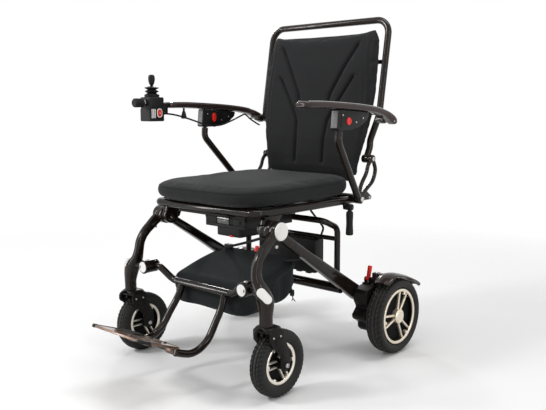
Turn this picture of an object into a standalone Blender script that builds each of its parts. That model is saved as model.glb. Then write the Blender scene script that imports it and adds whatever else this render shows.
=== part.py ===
# Folding power wheelchair: a four-wheeled chair with two hub motors and an alloy frame.
# Metres, +Z up, -Y is the front and +X is the occupant's left. While the pieces are
# shaped Y is counted from the front axle, then one empty centres the chair.
import math

import bmesh
import bpy
import numpy as np
from mathutils import Matrix, Vector

# Clearances
FIT = 0.0003            # between faces that touch
RUNNING = 0.0003        # round a pin in its bore
BORE_SIDES = 12         # finer than the pins, so a turning pin stays clear

# Wheels
WHEEL_BASE = 0.458
FRONT_WHEEL_RADIUS = 0.0825
FRONT_TYRE_WIDTH = 0.040
FRONT_RIM_RADIUS = 0.0525
FRONT_WHEEL_X = 0.2595
REAR_WHEEL_RADIUS = 0.106
REAR_TYRE_WIDTH = 0.050
REAR_RIM_RADIUS = 0.0787
REAR_WHEEL_X = 0.288
RIM_WALL = 0.0085
SPOKE_PAIRS = 3

# Main pivot, where leg, beam and seat lug meet on one pin
PIVOT_Y = 0.045
PIVOT_Z = 0.3915
KNUCKLE_RADIUS = 0.0245
PIN_RADIUS = 0.0080
LEG_EYE_THICKNESS = 0.018
BEAM_EYE_THICKNESS = 0.018
LUG_THICKNESS = 0.018
BEAM_OUTER_X = 0.2120
PIVOT_CAP_RADIUS = 0.0224
PIVOT_CAP_THICKNESS = 0.0065

# Front leg and caster
STEM_Y = -0.0395
LEG_FOOT_Z = 0.182
LEG_FOOT_WIDTH = 0.0325
STEM_RADIUS = 0.0080
STEM_LENGTH = 0.036
CROWN_DEPTH = 0.0130
FORK_BLADE = 0.0050
FORK_SIDE_GAP = 0.0035
CASTER_AXLE_RADIUS = 0.0050

# Rear beam, hoop and drive
BEAM_END_Y = 0.400
BEAM_END_Z = 0.167
BEAM_THICKNESS = 0.024
HOOP_Y = 0.347
HOOP_TOP_Z = 0.384
HOOP_HALF_WIDTH = 0.172
HOOP_TUBE = 0.0085
CROSS_TUBE_Z = 0.186
CROSS_TUBE_RADIUS = 0.0135
MID_BAR_Z = 0.325
MID_BAR_RADIUS = 0.0065
CONTROL_BOX_SIZE = (0.220, 0.040, 0.098)
MOTOR_CASTING = 0.0450
MOTOR_DRUM_RADIUS = 0.060
MOTOR_DRUM_WIDTH = 0.030
HUB_AXLE_RADIUS = 0.0060
GUARD_THICKNESS = 0.0030
GUARD_TAIL = 0.117
LEVER_X = 0.2215
LEVER_Y = 0.428
LEVER_Z = 0.206
LEVER_PIN_RADIUS = 0.0025
LEVER_HALF_WIDTH = 0.0055
LEVER_EAR_INNER = 0.0060
LEVER_EAR_OUTER = 0.0092
NECK_HALF_WIDTH = 0.0092

# Storage bag
BAG_TAPER = 0.08        # how much narrower its floor is than its top

# Footrest
FOOTREST_AXIS_Y = -0.014
FOOTREST_AXIS_Z = 0.257
FOOTREST_HALF_WIDTH = 0.176
FOOTREST_DROP = 0.0325
FOOTREST_TUBE = 0.0095
FOOT_LEG_TOP_X = 0.081
FOOT_LEG_X = 0.088
FOOTREST_CAP_RADIUS = 0.0185
FOOTREST_CAP_X = 0.189
FOOTREST_CAP_Y = -0.051
HINGE_ROD_RADIUS = 0.0055
PLATE_HINGE_Y = -0.152
PLATE_HINGE_Z = 0.104
PLATE_SLOPE = math.radians(20.8)
PLATE_START = 0.016
PLATE_LENGTH = 0.124
PLATE_HALF_WIDTH = 0.106
PLATE_THICKNESS = 0.0060
PLATE_EDGE = 0.0010
PLATE_EAR_RADIUS = 0.0098
PLATE_EAR_SPAN = (0.036, 0.068)

# Seat
RAIL_X = 0.188
RAIL_Z = 0.433
RAIL_RADIUS = 0.0108
SEAT_FRONT_Y = 0.004
SEAT_REAR_Y = 0.432
SEAT_CORNER = 0.022
CUSHION_HALF_WIDTH = 0.206
CUSHION_FRONT_Y = -0.038
CUSHION_REAR_Y = 0.414
CUSHION_REAR_THICKNESS = 0.0625
CUSHION_FRONT_THICKNESS = 0.0520
TRAY_HALF_WIDTH = 0.100
TRAY_THICKNESS = 0.0060
BATTERY_HALF_WIDTH = 0.075
BATTERY_FRONT_Y = 0.080
BATTERY_LENGTH = 0.188
BATTERY_FLANGE = 0.018
BATTERY_BODY = 0.0445
BATTERY_DEPTH = 0.070
BATTERY_GROOVE = 0.0085
FOLD_LEVER_X = 0.2055
FOLD_LEVER_Y = 0.3575
FOLD_LEVER_Z = 0.4165
FOLD_LEVER_HALF = 0.0080

# Back
BACK_HINGE_Y = 0.463
BACK_HINGE_Z = 0.543
BACK_EYE_HALF = 0.0098
BACK_TUBE = 0.0095
BACK_LOW_X = 0.184
BACK_X = 0.2185
BACK_TOP_Y = 0.5174
BACK_TOP_Z = 0.9325
HINGE_PIN_RADIUS = 0.0043
STRAND_RADIUS = 0.0052
BACK_CUSHION_TOP_Z = 0.899
BACK_CUSHION_LOW_Z = 0.516
BACK_HALF_THICKNESS = 0.0165
BACK_FLATNESS = 0.75
BACK_BAR_RADIUS = 0.0060
GROOVE_HALF_WIDTH = 0.0050
GROOVE_DEPTH = 0.0042
BACK_BAR_HEIGHTS = (BACK_HINGE_Z + 0.129, BACK_TOP_Z - 0.1175)

# Arms
ARM_PIVOT_Y = 0.478
ARM_PIVOT_Z = 0.655
ARM_X = 0.252
ARM_TIP_Y = 0.094
ARM_WIDTH = 0.044
ARM_THICKNESS = 0.019
ARM_HINGE_THICKNESS = 0.0055
ARM_PIN_RADIUS = 0.0050
ARM_PEG_Z = 0.6557
STRUT_RADIUS = 0.0095
STRUT_FOOT_Y = 0.378
STRUT_FOOT_Z = 0.4380
STRUT_FOOT_X = 0.2195
STRUT_EYE_RADIUS = 0.0125
STRUT_TOP_Y = 0.243
LATCH_THICKNESS = 0.024
LATCH_LOW_Z = 0.6305
BUTTON_Y = 0.2683
BUTTON_Z = 0.6534
BUTTON_RADIUS = 0.0098

# Joystick controller, on the occupant's right arm
CASE_SIZE = (0.050, 0.050, 0.067)
CASE_Y = 0.045
CASE_TOP_Z = 0.717
STICK_BALL = 0.0060
KNOB_TOP_Z = 0.779
CABLE_RADIUS = 0.0025
POWER_RADIUS = 0.0085

COLLECTION = "folding_power_wheelchair"
FULL_TURN = 2.0 * math.pi
FLAT_ANGLE = math.radians(0.2)


# Scene and materials

def clear_scene():
    for item in list(bpy.data.objects):
        bpy.data.objects.remove(item, do_unlink=True)


def make_collection():
    group = bpy.data.collections.new(COLLECTION)
    bpy.context.scene.collection.children.link(group)
    return group


def material(name, colour, roughness, metallic=0.0):
    skin = bpy.data.materials.new(name)
    skin.use_nodes = True
    shader = skin.node_tree.nodes["Principled BSDF"]
    shader.inputs["Base Color"].default_value = (*colour, 1.0)
    shader.inputs["Roughness"].default_value = roughness
    shader.inputs["Metallic"].default_value = metallic
    return skin


# Mesh helpers

def add_object(name, mesh):
    item = bpy.data.objects.new(name, mesh)
    PARTS.objects.link(item)
    return item


def mesh_from_bmesh(name, work):
    bmesh.ops.recalc_face_normals(work, faces=work.faces)
    mesh = bpy.data.meshes.new(name)
    work.to_mesh(mesh)
    work.free()
    return mesh


def bake(item):
    # The evaluated shape replaces the object, so curves and modifiers become a plain mesh.
    bpy.context.view_layer.update()
    graph = bpy.context.evaluated_depsgraph_get()
    mesh = bpy.data.meshes.new_from_object(item.evaluated_get(graph))
    mesh.transform(item.matrix_world)
    work = bmesh.new()
    work.from_mesh(mesh)
    bmesh.ops.remove_doubles(work, verts=work.verts, dist=0.00002)
    name = item.name
    bpy.data.objects.remove(item, do_unlink=True)
    bpy.data.meshes.remove(mesh)
    return add_object(name, mesh_from_bmesh(name, work))


def combine(base, tools, operation):
    for tool in tools:
        step = base.modifiers.new(operation.lower(), "BOOLEAN")
        step.operation = operation
        step.solver = "EXACT"
        step.object = tool
        base = bake(base)
        bpy.data.objects.remove(tool, do_unlink=True)
    return base


def join(base, *tools):
    return combine(base, tools, "UNION")


def cut(base, *tools):
    return combine(base, tools, "DIFFERENCE")


def bevelled(item, width, segments=2):
    edge = item.modifiers.new("edges", "BEVEL")
    edge.width = width
    edge.segments = segments
    edge.limit_method = "ANGLE"
    return bake(item)


def block(name, low, high, bevel=0.0, segments=2):
    work = bmesh.new()
    bmesh.ops.create_cube(work, size=1.0)
    low, high = Vector(low), Vector(high)
    size = high - low
    bmesh.ops.scale(work, vec=size, verts=work.verts)
    bmesh.ops.translate(work, vec=(low + high) / 2.0, verts=work.verts)
    item = add_object(name, mesh_from_bmesh(name, work))
    return bevelled(item, bevel, segments) if bevel else item


def cylinder(name, start, end, radius, sides=12, end_radius=None):
    start, end = Vector(start), Vector(end)
    axis = end - start
    work = bmesh.new()
    bmesh.ops.create_cone(
        work, cap_ends=True, segments=sides, depth=axis.length,
        radius1=radius, radius2=radius if end_radius is None else end_radius,
    )
    turn = axis.to_track_quat("Z", "Y").to_matrix().to_4x4()
    bmesh.ops.transform(
        work, matrix=Matrix.Translation((start + end) / 2.0) @ turn, verts=work.verts,
    )
    return add_object(name, mesh_from_bmesh(name, work))


def cross_pin(name, y, z, x_from, x_to, radius, sides=12):
    return cylinder(name, (x_from, y, z), (x_to, y, z), radius, sides)


def turned(name, profile, steps, axis="X", centre=(0.0, 0.0, 0.0), closed=False):
    # The profile lists (radius, height); it is turned round the axis at the centre.
    mesh = bpy.data.meshes.new(name)
    points = [(radius, 0.0, height) for radius, height in profile]
    edges = [(i, i + 1) for i in range(len(points) - 1)]
    if closed:
        edges.append((len(points) - 1, 0))
    mesh.from_pydata(points, edges, [])
    item = add_object(name, mesh)
    spin = item.modifiers.new("turn", "SCREW")
    spin.steps = steps
    spin.render_steps = steps
    spin.use_merge_vertices = True
    spin.merge_threshold = 0.00001
    turns = {
        "X": Matrix.Rotation(math.pi / 2.0, 4, "Y"),
        "Y": Matrix.Rotation(-math.pi / 2.0, 4, "X"),
        "Z": Matrix.Identity(4),
    }
    item.matrix_world = Matrix.Translation(centre) @ turns[axis]
    return bake(item)


def side_plate(name, outline, x_low, x_high, bevel=0.0):
    # A flat outline in (y, z), as thick as the span in x.
    curve = bpy.data.curves.new(name, "CURVE")
    curve.dimensions = "2D"
    curve.fill_mode = "BOTH"
    curve.extrude = (x_high - x_low) / 2.0 - bevel
    curve.bevel_depth = bevel
    curve.bevel_resolution = 1
    curve.offset = -bevel
    spline = curve.splines.new("POLY")
    spline.points.add(len(outline) - 1)
    for point, (y, z) in zip(spline.points, outline):
        point.co = (y, z, 0.0, 1.0)
    spline.use_cyclic_u = True
    item = add_object(name, curve)
    to_side = Matrix(((0, 0, 1, 0), (1, 0, 0, 0), (0, 1, 0, 0), (0, 0, 0, 1)))
    item.matrix_world = Matrix.Translation(((x_low + x_high) / 2.0, 0.0, 0.0)) @ to_side
    return bake(item)


def tube(name, points, radius, resolution=2, cyclic=False):
    curve = bpy.data.curves.new(name, "CURVE")
    curve.dimensions = "3D"
    curve.bevel_depth = radius
    curve.bevel_resolution = resolution
    curve.use_fill_caps = not cyclic
    spline = curve.splines.new("POLY")
    spline.points.add(len(points) - 1)
    for point, place in zip(spline.points, points):
        point.co = (*place, 1.0)
    spline.use_cyclic_u = cyclic
    return bake(add_object(name, curve))


def filleted(points, radii, steps=4, closed=False):
    # Straight runs with each corner turned into an arc; radii and steps may be given one by one.
    points = [Vector(p) for p in points]
    count = len(points)
    rounded = []
    for i, corner in enumerate(points):
        radius = radii[i] if isinstance(radii, list) else radii
        parts = steps[i] if isinstance(steps, list) else steps
        at_end = not closed and i in (0, count - 1)
        if at_end or radius <= 0.0:
            rounded.append(corner)
            continue
        to_last = (points[i - 1] - corner).normalized()
        to_next = (points[(i + 1) % count] - corner).normalized()
        half = to_last.angle(to_next) / 2.0
        reach = radius / math.tan(half)
        middle = (to_last + to_next).normalized() * (radius / math.sin(half)) + corner
        first = corner + to_last * reach - middle
        last = corner + to_next * reach - middle
        sweep = first.angle(last)
        for k in range(parts + 1):
            share = k / parts
            turn = first * math.sin((1.0 - share) * sweep) + last * math.sin(share * sweep)
            rounded.append(middle + turn / math.sin(sweep))
    return rounded


def smooth_route(points, per_span):
    # A Catmull-Rom curve through every point of a route.
    places = [Vector(p) for p in points]
    ends = [places[0] * 2.0 - places[1], *places, places[-1] * 2.0 - places[-2]]
    route = []
    for i in range(1, len(ends) - 2):
        before, here, there, after = ends[i - 1:i + 3]
        for k in range(per_span):
            t = k / per_span
            route.append(
                0.5 * (2.0 * here + (there - before) * t
                       + (2.0 * before - 5.0 * here + 4.0 * there - after) * t * t
                       + (3.0 * here - before - 3.0 * there + after) * t ** 3)
            )
    route.append(places[-1])
    return route


def loft(name, rings):
    # Rings of equally many points, skinned in order and capped at both ends.
    work = bmesh.new()
    rows = [[work.verts.new(point) for point in ring] for ring in rings]
    count = len(rows[0])
    for lower, upper in zip(rows, rows[1:]):
        for i in range(count):
            j = (i + 1) % count
            work.faces.new((lower[i], lower[j], upper[j], upper[i]))
    work.faces.new(rows[0][::-1])
    work.faces.new(rows[-1])
    return add_object(name, mesh_from_bmesh(name, work))


def oval_ring(centre, across, up, half_across, half_up, squareness=2.0, count=16):
    # A superellipse: squareness 2 is an ellipse, larger values square its corners.
    ring = []
    power = 2.0 / squareness
    for i in range(count):
        angle = FULL_TURN * (i + 0.5) / count
        c, s = math.cos(angle), math.sin(angle)
        a = half_across * math.copysign(abs(c) ** power, c)
        b = half_up * math.copysign(abs(s) ** power, s)
        ring.append(Vector(centre) + Vector(across) * a + Vector(up) * b)
    return ring


def box_ring(centre, across, up, half_across, half_up, corner=0.0, steps=0):
    # A rectangle, with its corners rounded where a radius is given.
    ring = []
    for quarter, (sa, sb) in enumerate(((1, 1), (-1, 1), (-1, -1), (1, -1))):
        for k in range(steps + 1):
            angle = math.pi / 2.0 * (quarter + k / max(steps, 1))
            a = sa * (half_across - corner) + corner * math.cos(angle)
            b = sb * (half_up - corner) + corner * math.sin(angle)
            ring.append(Vector(centre) + Vector(across) * a + Vector(up) * b)
    return ring


def side_bar(name, stations, ring):
    # A bar whose centre line runs in the side view; each station is
    # (y, z, depth, thickness, x) and the ring maker gets the square section's axes.
    centres = [Vector((s[4], s[0], s[1])) for s in stations]
    rings = []
    for i, (y, z, depth, thickness, x) in enumerate(stations):
        ahead = centres[min(i + 1, len(centres) - 1)] - centres[max(i - 1, 0)]
        ahead.x = 0.0
        ahead.normalize()
        up = Vector((0.0, -ahead.z, ahead.y))
        rings.append(ring((x, y, z), (1, 0, 0), up, thickness / 2.0, depth / 2.0))
    return loft(name, rings)


# Placing

def finish(item, skin, origin=(0.0, 0.0, 0.0), smooth=35.0):
    # The origin goes to the joint's axis and the object hangs on the chair's empty.
    origin = Vector(origin)
    work = bmesh.new()
    work.from_mesh(item.data)
    bmesh.ops.dissolve_limit(
        work, angle_limit=FLAT_ANGLE, verts=work.verts, edges=work.edges,
    )
    work.to_mesh(item.data)
    work.free()
    item.data.transform(Matrix.Translation(-origin))
    item.data.materials.clear()
    item.data.materials.append(skin)
    item.data.shade_smooth()
    item.data.set_sharp_from_angle(angle=math.radians(smooth))
    item.parent = CHAIR
    item.location = origin
    return item


def other_side(item, name):
    # A mirrored copy for the occupant's right.
    mesh = item.data.copy()
    mesh.name = name
    mesh.transform(Matrix.Scale(-1.0, 4, (1, 0, 0)))
    mesh.flip_normals()
    twin = bpy.data.objects.new(name, mesh)
    PARTS.objects.link(twin)
    twin.parent = CHAIR
    twin.location = (-item.location.x, item.location.y, item.location.z)
    return twin


def pair(item, skin, origin=(0.0, 0.0, 0.0), smooth=35.0):
    stem = item.name
    item.name = stem + "_left"
    finish(item, skin, origin, smooth)
    other_side(item, stem + "_right")


# Worked-out places

LEG_INNER_X = BEAM_OUTER_X + FIT
LEG_OUTER_X = LEG_INNER_X + LEG_EYE_THICKNESS
LEG_EYE_X = (LEG_INNER_X + LEG_OUTER_X) / 2.0
BEAM_INNER_X = BEAM_OUTER_X - BEAM_EYE_THICKNESS
LUG_OUTER_X = BEAM_INNER_X - FIT
LUG_INNER_X = LUG_OUTER_X - LUG_THICKNESS
BEAM_X = BEAM_OUTER_X - BEAM_THICKNESS / 2.0
BEAM_DEEP_INNER_X = BEAM_OUTER_X - BEAM_THICKNESS
SEAT_TOP_Z = RAIL_Z + RAIL_RADIUS
SEAT_UNDER_Z = RAIL_Z - RAIL_RADIUS
TRAY_TOP_Z = SEAT_UNDER_Z - FIT
TRAY_LOW_Z = TRAY_TOP_Z - TRAY_THICKNESS
BATTERY_TOP_Z = TRAY_LOW_Z - FIT
CASE_X = -ARM_X
CASE_LOW_Z = CASE_TOP_Z - CASE_SIZE[2]
CASE_FRONT_Y = CASE_Y - CASE_SIZE[1] / 2.0
CASE_REAR_Y = CASE_Y + CASE_SIZE[1] / 2.0
CASE_INNER_X = CASE_X + CASE_SIZE[0] / 2.0
STICK_Z = CASE_TOP_Z - 0.008
POWER_Y = CASE_Y + 0.006
POWER_Z = CASE_TOP_Z - 0.044
CLAMP_Z = CASE_TOP_Z - 0.016
PLATE_AHEAD = Vector((0.0, -math.cos(PLATE_SLOPE), math.sin(PLATE_SLOPE)))
PLATE_UP = Vector((0.0, math.sin(PLATE_SLOPE), math.cos(PLATE_SLOPE)))
PLATE_TIP = (
    Vector((0.0, PLATE_HINGE_Y, PLATE_HINGE_Z))
    + PLATE_AHEAD * (PLATE_START + PLATE_LENGTH)
    + PLATE_UP * (FOOTREST_TUBE + FIT)
)
FRONT_REACH_Y = PLATE_TIP.y + 0.4 * PLATE_EDGE
REAR_REACH_Y = WHEEL_BASE + GUARD_TAIL + 0.33 * GUARD_THICKNESS
CENTRE_Y = (FRONT_REACH_Y + REAR_REACH_Y) / 2.0
MOTOR_INNER_X = BEAM_OUTER_X + FIT
MOTOR_FACE_X = MOTOR_INNER_X + MOTOR_CASTING
DRUM_INNER_X = MOTOR_FACE_X + 0.0050
STRUT_EYE_INNER_X = STRUT_FOOT_X - 0.0090
STRUT_EYE_OUTER_X = STRUT_FOOT_X + 0.0095
BACK_EYE_INNER_X = BACK_LOW_X - BACK_EYE_HALF
BACK_EYE_OUTER_X = BACK_LOW_X + BACK_EYE_HALF
STRAND_X = BACK_EYE_OUTER_X + FIT + STRAND_RADIUS + 0.0035
ARM_HINGE_X = BACK_X + BACK_TUBE + 0.0010


# Wheels

def tyre(name, radius, bead_radius, width, wheel_x, wheel_y, steps, skin, groove):
    # A rounded crown with grooves round it, from the outer bead over to the inner one.
    half = width / 2.0
    side = bead_radius + 0.55 * (radius - bead_radius)
    half_profile = [
        (bead_radius, 0.66 * half),
        (side, half),
        (radius - 0.16 * (radius - bead_radius), 0.86 * half),
        (radius, 0.42 * half),
        (radius - groove, 0.10 * half),
    ]
    profile = half_profile + [(r, -x) for r, x in reversed(half_profile)]
    item = turned(name, profile, steps, "X", (wheel_x, wheel_y, radius), closed=True)
    pair(item, skin, (wheel_x, wheel_y, radius))


def spoked_rim(name, barrel, hub_radius, hub_span, bore, spoke, first_angle, centre, steps):
    # A barrel, a hub and three pairs of bars between them, welded into one casting.
    outer, inner, span = barrel
    rim = turned(
        name,
        [(inner, span[1]), (outer, span[1]), (outer, span[0]), (inner, span[0])],
        steps, "X", centre, closed=True,
    )
    x, y, z = centre
    hub = cylinder("hub", (x + hub_span[0], y, z), (x + hub_span[1], y, z), hub_radius, 14)
    width, span_x, near, far = spoke
    bars = []
    for k in range(SPOKE_PAIRS):
        angle = first_angle + FULL_TURN * k / SPOKE_PAIRS
        outward = Vector((0.0, math.cos(angle), math.sin(angle)))
        aside = Vector((0.0, -math.sin(angle), math.cos(angle)))
        for side in (-1.0, 1.0):
            start = Vector(centre) + outward * (hub_radius - 0.004) + aside * side * near
            end = Vector(centre) + outward * ((outer + inner) / 2.0) + aside * side * far
            run = (end - start).normalized()
            over = Vector((0.0, -run.z, run.y))
            rings = [
                box_ring(p + Vector(((span_x[0] + span_x[1]) / 2.0, 0, 0)), (1, 0, 0), over,
                         (span_x[1] - span_x[0]) / 2.0, width / 2.0)
                for p in (start, end)
            ]
            bars.append(loft("bar", rings))
    rim = join(rim, hub, *bars)
    return cut(rim, cylinder("bore", (x + bore[1], y, z), (x + bore[2], y, z), bore[0], BORE_SIDES))


def front_wheels(rubber, alloy):
    x, y, z = FRONT_WHEEL_X, 0.0, FRONT_WHEEL_RADIUS
    tyre("caster_tyre", FRONT_WHEEL_RADIUS, FRONT_RIM_RADIUS, FRONT_TYRE_WIDTH, x, y, 24,
         rubber, 0.0022)
    half = FRONT_TYRE_WIDTH / 2.0
    rim = spoked_rim(
        "caster_rim",
        (FRONT_RIM_RADIUS - FIT, FRONT_RIM_RADIUS - RIM_WALL, (-0.6 * half, 0.6 * half)),
        0.013, (-half, half), (CASTER_AXLE_RADIUS + RUNNING, -2.0 * half, 2.0 * half),
        (0.0046, (-0.009, 0.009), 0.0069, 0.0075), math.radians(60.0), (x, y, z), 24,
    )
    pair(rim, alloy, (x, y, z))


def rear_wheels(rubber, alloy, black):
    x, y, z = REAR_WHEEL_X, WHEEL_BASE, REAR_WHEEL_RADIUS
    tyre("rear_tyre", REAR_WHEEL_RADIUS, REAR_RIM_RADIUS, REAR_TYRE_WIDTH, x, y, 26,
         rubber, 0.0026)
    half = REAR_TYRE_WIDTH / 2.0
    drum_outer = DRUM_INNER_X + MOTOR_DRUM_WIDTH - x
    rim = spoked_rim(
        "rear_rim",
        (REAR_RIM_RADIUS - FIT, REAR_RIM_RADIUS - RIM_WALL, (-0.8 * half, 0.85 * half)),
        0.0205, (drum_outer + 0.0015, half - 0.001),
        (HUB_AXLE_RADIUS + RUNNING, 0.0, drum_outer + 0.0100),
        (0.0066, (drum_outer + 0.0020, drum_outer + 0.0100), 0.0060, 0.0195),
        math.radians(66.0), (x, y, z), 26,
    )
    pair(rim, alloy, (x, y, z))
    # The stator drum sits inside the barrel on the fixed axle.
    drum_face = DRUM_INNER_X + MOTOR_DRUM_WIDTH
    drum = turned(
        "hub_motor",
        [(0.0, drum_face + 0.0090), (HUB_AXLE_RADIUS, drum_face + 0.0090),
         (HUB_AXLE_RADIUS, drum_face), (MOTOR_DRUM_RADIUS, drum_face),
         (MOTOR_DRUM_RADIUS, DRUM_INNER_X), (0.0200, DRUM_INNER_X),
         (0.0200, MOTOR_FACE_X + FIT), (0.0, MOTOR_FACE_X + FIT)],
        18, "X", (0.0, y, z),
    )
    pair(drum, black)


# Front frame

def front_leg(gloss):
    # A bowed forging: slim below the knuckle, swelling into the caster housing.
    x_top, x_low = LEG_EYE_X, FRONT_WHEEL_X
    step_out = x_low - x_top
    drop = PIVOT_Z - LEG_FOOT_Z
    stations = []
    for y, fall, depth, thickness, share in (
        (PIVOT_Y - 0.010, 0.030, 0.030, LEG_EYE_THICKNESS - 0.0010, 0.00),
        (PIVOT_Y - 0.026, 0.080, 0.029, LEG_EYE_THICKNESS - 0.0005, 0.00),
        (PIVOT_Y - 0.040, 0.134, 0.027, 0.0180, 0.00),
        (-0.0095, 0.196, 0.026, 0.0180, 0.04),
        (-0.0215, 0.262, 0.025, 0.0185, 0.05),
        (-0.0305, 0.340, 0.025, 0.0190, 0.05),
        (-0.0345, 0.430, 0.026, 0.0200, 0.06),
        (-0.0355, 0.500, 0.029, 0.0230, 0.16),
        (-0.0350, 0.555, 0.034, 0.0290, 0.34),
        (-0.0355, 0.620, 0.040, 0.0360, 0.60),
        (-0.0370, 0.690, 0.041, 0.0390, 0.82),
        (-0.0378, 0.770, 0.038, 0.0370, 0.95),
        (STEM_Y, 0.870, LEG_FOOT_WIDTH + 0.001, LEG_FOOT_WIDTH, 1.00),
        (STEM_Y, 1.000, LEG_FOOT_WIDTH, LEG_FOOT_WIDTH, 1.00),
    ):
        stations.append((y, PIVOT_Z - drop * fall, depth, thickness, x_top + step_out * share))
    squareness = iter([3.0] * 7 + [2.8, 2.6, 2.6, 2.4, 2.2, 2.0, 2.0])

    def ring(centre, across, up, half_across, half_up):
        return oval_ring(centre, across, up, half_across, half_up, next(squareness), 12)

    leg = side_bar("front_leg", stations, ring)
    shape = add_object("leg_shape", leg.data.copy())
    eye = cross_pin("eye", PIVOT_Y, PIVOT_Z, LEG_INNER_X, LEG_OUTER_X, KNUCKLE_RADIUS, 20)
    pivot_bore = cross_pin("bore", PIVOT_Y, PIVOT_Z, LEG_INNER_X - 0.01, LEG_OUTER_X + 0.01,
                           PIN_RADIUS + RUNNING, BORE_SIDES)
    stem_bore = cylinder("stem_bore", (x_low, STEM_Y, LEG_FOOT_Z - 0.01),
                         (x_low, STEM_Y, LEG_FOOT_Z + STEM_LENGTH + 0.002),
                         STEM_RADIUS + RUNNING, BORE_SIDES)
    pair(cut(join(leg, eye), pivot_bore, stem_bore), gloss, (LEG_EYE_X, PIVOT_Y, PIVOT_Z))
    return shape


def pivot_cap(cream):
    # The white cover disc with the main pin behind it.
    face = LEG_OUTER_X + FIT
    profile = [
        (0.0, face + PIVOT_CAP_THICKNESS),
        (PIVOT_CAP_RADIUS - 0.004, face + PIVOT_CAP_THICKNESS),
        (PIVOT_CAP_RADIUS, face + PIVOT_CAP_THICKNESS - 0.003),
        (PIVOT_CAP_RADIUS, face),
        (PIN_RADIUS, face),
        (PIN_RADIUS, LUG_INNER_X + 0.001),
        (0.0, LUG_INNER_X + 0.001),
    ]
    cap = turned("pivot_cap", profile, 16, "X", (0.0, PIVOT_Y, PIVOT_Z))
    pair(cap, cream)


def footrest_bracket(black, leg):
    # A short drum facing forward, a neck to the leg and a journal for the crossbar.
    x, y, z = FOOTREST_CAP_X, FOOTREST_CAP_Y, FOOTREST_AXIS_Z
    drum = turned(
        "footrest_bracket",
        [(0.0, 0.050), (FOOTREST_CAP_RADIUS - 0.004, 0.050), (FOOTREST_CAP_RADIUS - 0.001, 0.045),
         (FOOTREST_CAP_RADIUS - 0.001, 0.011), (FOOTREST_CAP_RADIUS, 0.010),
         (FOOTREST_CAP_RADIUS, 0.003), (FOOTREST_CAP_RADIUS - 0.003, 0.0), (0.0, 0.0)],
        14, "Y", (x, y, z),
    )
    neck = cylinder("neck", (x, y + 0.026, z), (FRONT_WHEEL_X - 0.022, STEM_Y + 0.004, z), 0.0120, 12)
    leg.data.transform(Matrix.Translation((-1.5 * FIT, 0.0, 0.0)))
    neck = cut(neck, leg)
    socket = cross_pin("socket", FOOTREST_AXIS_Y, z, FOOTREST_HALF_WIDTH - 0.0115, x, 0.0145, 12)
    bore = cross_pin("bore", FOOTREST_AXIS_Y, z, FOOTREST_HALF_WIDTH - 0.02,
                     FOOTREST_HALF_WIDTH + FIT, FOOTREST_TUBE + RUNNING, 16)
    pair(cut(join(drum, socket, neck), bore), black)


def caster_fork(black):
    # Crown, two blades, swivel stem, axle and the small guard loop in front.
    x = FRONT_WHEEL_X
    wheel_top = 2.0 * FRONT_WHEEL_RADIUS
    crown_top = LEG_FOOT_Z - FIT
    crown_low = crown_top - CROWN_DEPTH
    blade_in = FRONT_TYRE_WIDTH / 2.0 + FORK_SIDE_GAP
    blade_out = blade_in + FORK_BLADE
    rings = [
        box_ring((x, STEM_Y + 0.006, crown_top), (1, 0, 0), (0, 1, 0), 0.024, 0.022, 0.010, 2),
        box_ring((x, STEM_Y + 0.007, crown_top - 0.003), (1, 0, 0), (0, 1, 0), blade_out - 0.001,
                 0.0255, 0.010, 2),
        box_ring((x, STEM_Y + 0.007, crown_low), (1, 0, 0), (0, 1, 0), blade_out + 0.0005,
                 0.0265, 0.008, 2),
    ]
    fork = loft("caster_fork", rings[::-1])
    axle_z = FRONT_WHEEL_RADIUS
    outline = [
        (STEM_Y - 0.016, crown_low + 0.006), (STEM_Y + 0.030, crown_low + 0.006),
        (STEM_Y + 0.036, crown_low - 0.020), (0.014, axle_z + 0.020), (0.0165, axle_z + 0.002),
        (0.0120, axle_z - 0.011), (0.0, axle_z - 0.0165), (-0.0120, axle_z - 0.011),
        (-0.0165, axle_z + 0.002), (-0.018, axle_z + 0.026), (STEM_Y - 0.014, crown_low - 0.022),
    ]
    blades = [
        side_plate("blade", outline, x + blade_in, x + blade_out),
        side_plate("blade", outline, x - blade_out, x - blade_in),
    ]
    axle = cross_pin("axle", 0.0, axle_z, x - blade_out - 0.003, x + blade_out + 0.003,
                     CASTER_AXLE_RADIUS, 10)
    covers = [
        cross_pin("cover", 0.0, axle_z, x + side * (blade_out - 0.001), x + side * (blade_out + 0.0035),
                  0.0115, 12)
        for side in (-1.0, 1.0)
    ]
    stem = cylinder("stem", (x, STEM_Y, crown_low + 0.004), (x, STEM_Y, LEG_FOOT_Z + STEM_LENGTH),
                    STEM_RADIUS, 12)
    front = STEM_Y - 0.036
    loop = tube(
        "loop",
        filleted([(x, STEM_Y - 0.012, crown_top - 0.0055), (x, front, crown_top - 0.003),
                  (x, front, crown_low - 0.0120), (x, STEM_Y - 0.016, crown_low - 0.0120),
                  (x, STEM_Y - 0.008, crown_low + 0.004)],
                 [0, 0.008, 0.008, 0.006, 0], 1),
        0.0042, 1,
    )
    pair(join(fork, *blades, axle, *covers, stem, loop), black, (x, STEM_Y, LEG_FOOT_Z))


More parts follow.
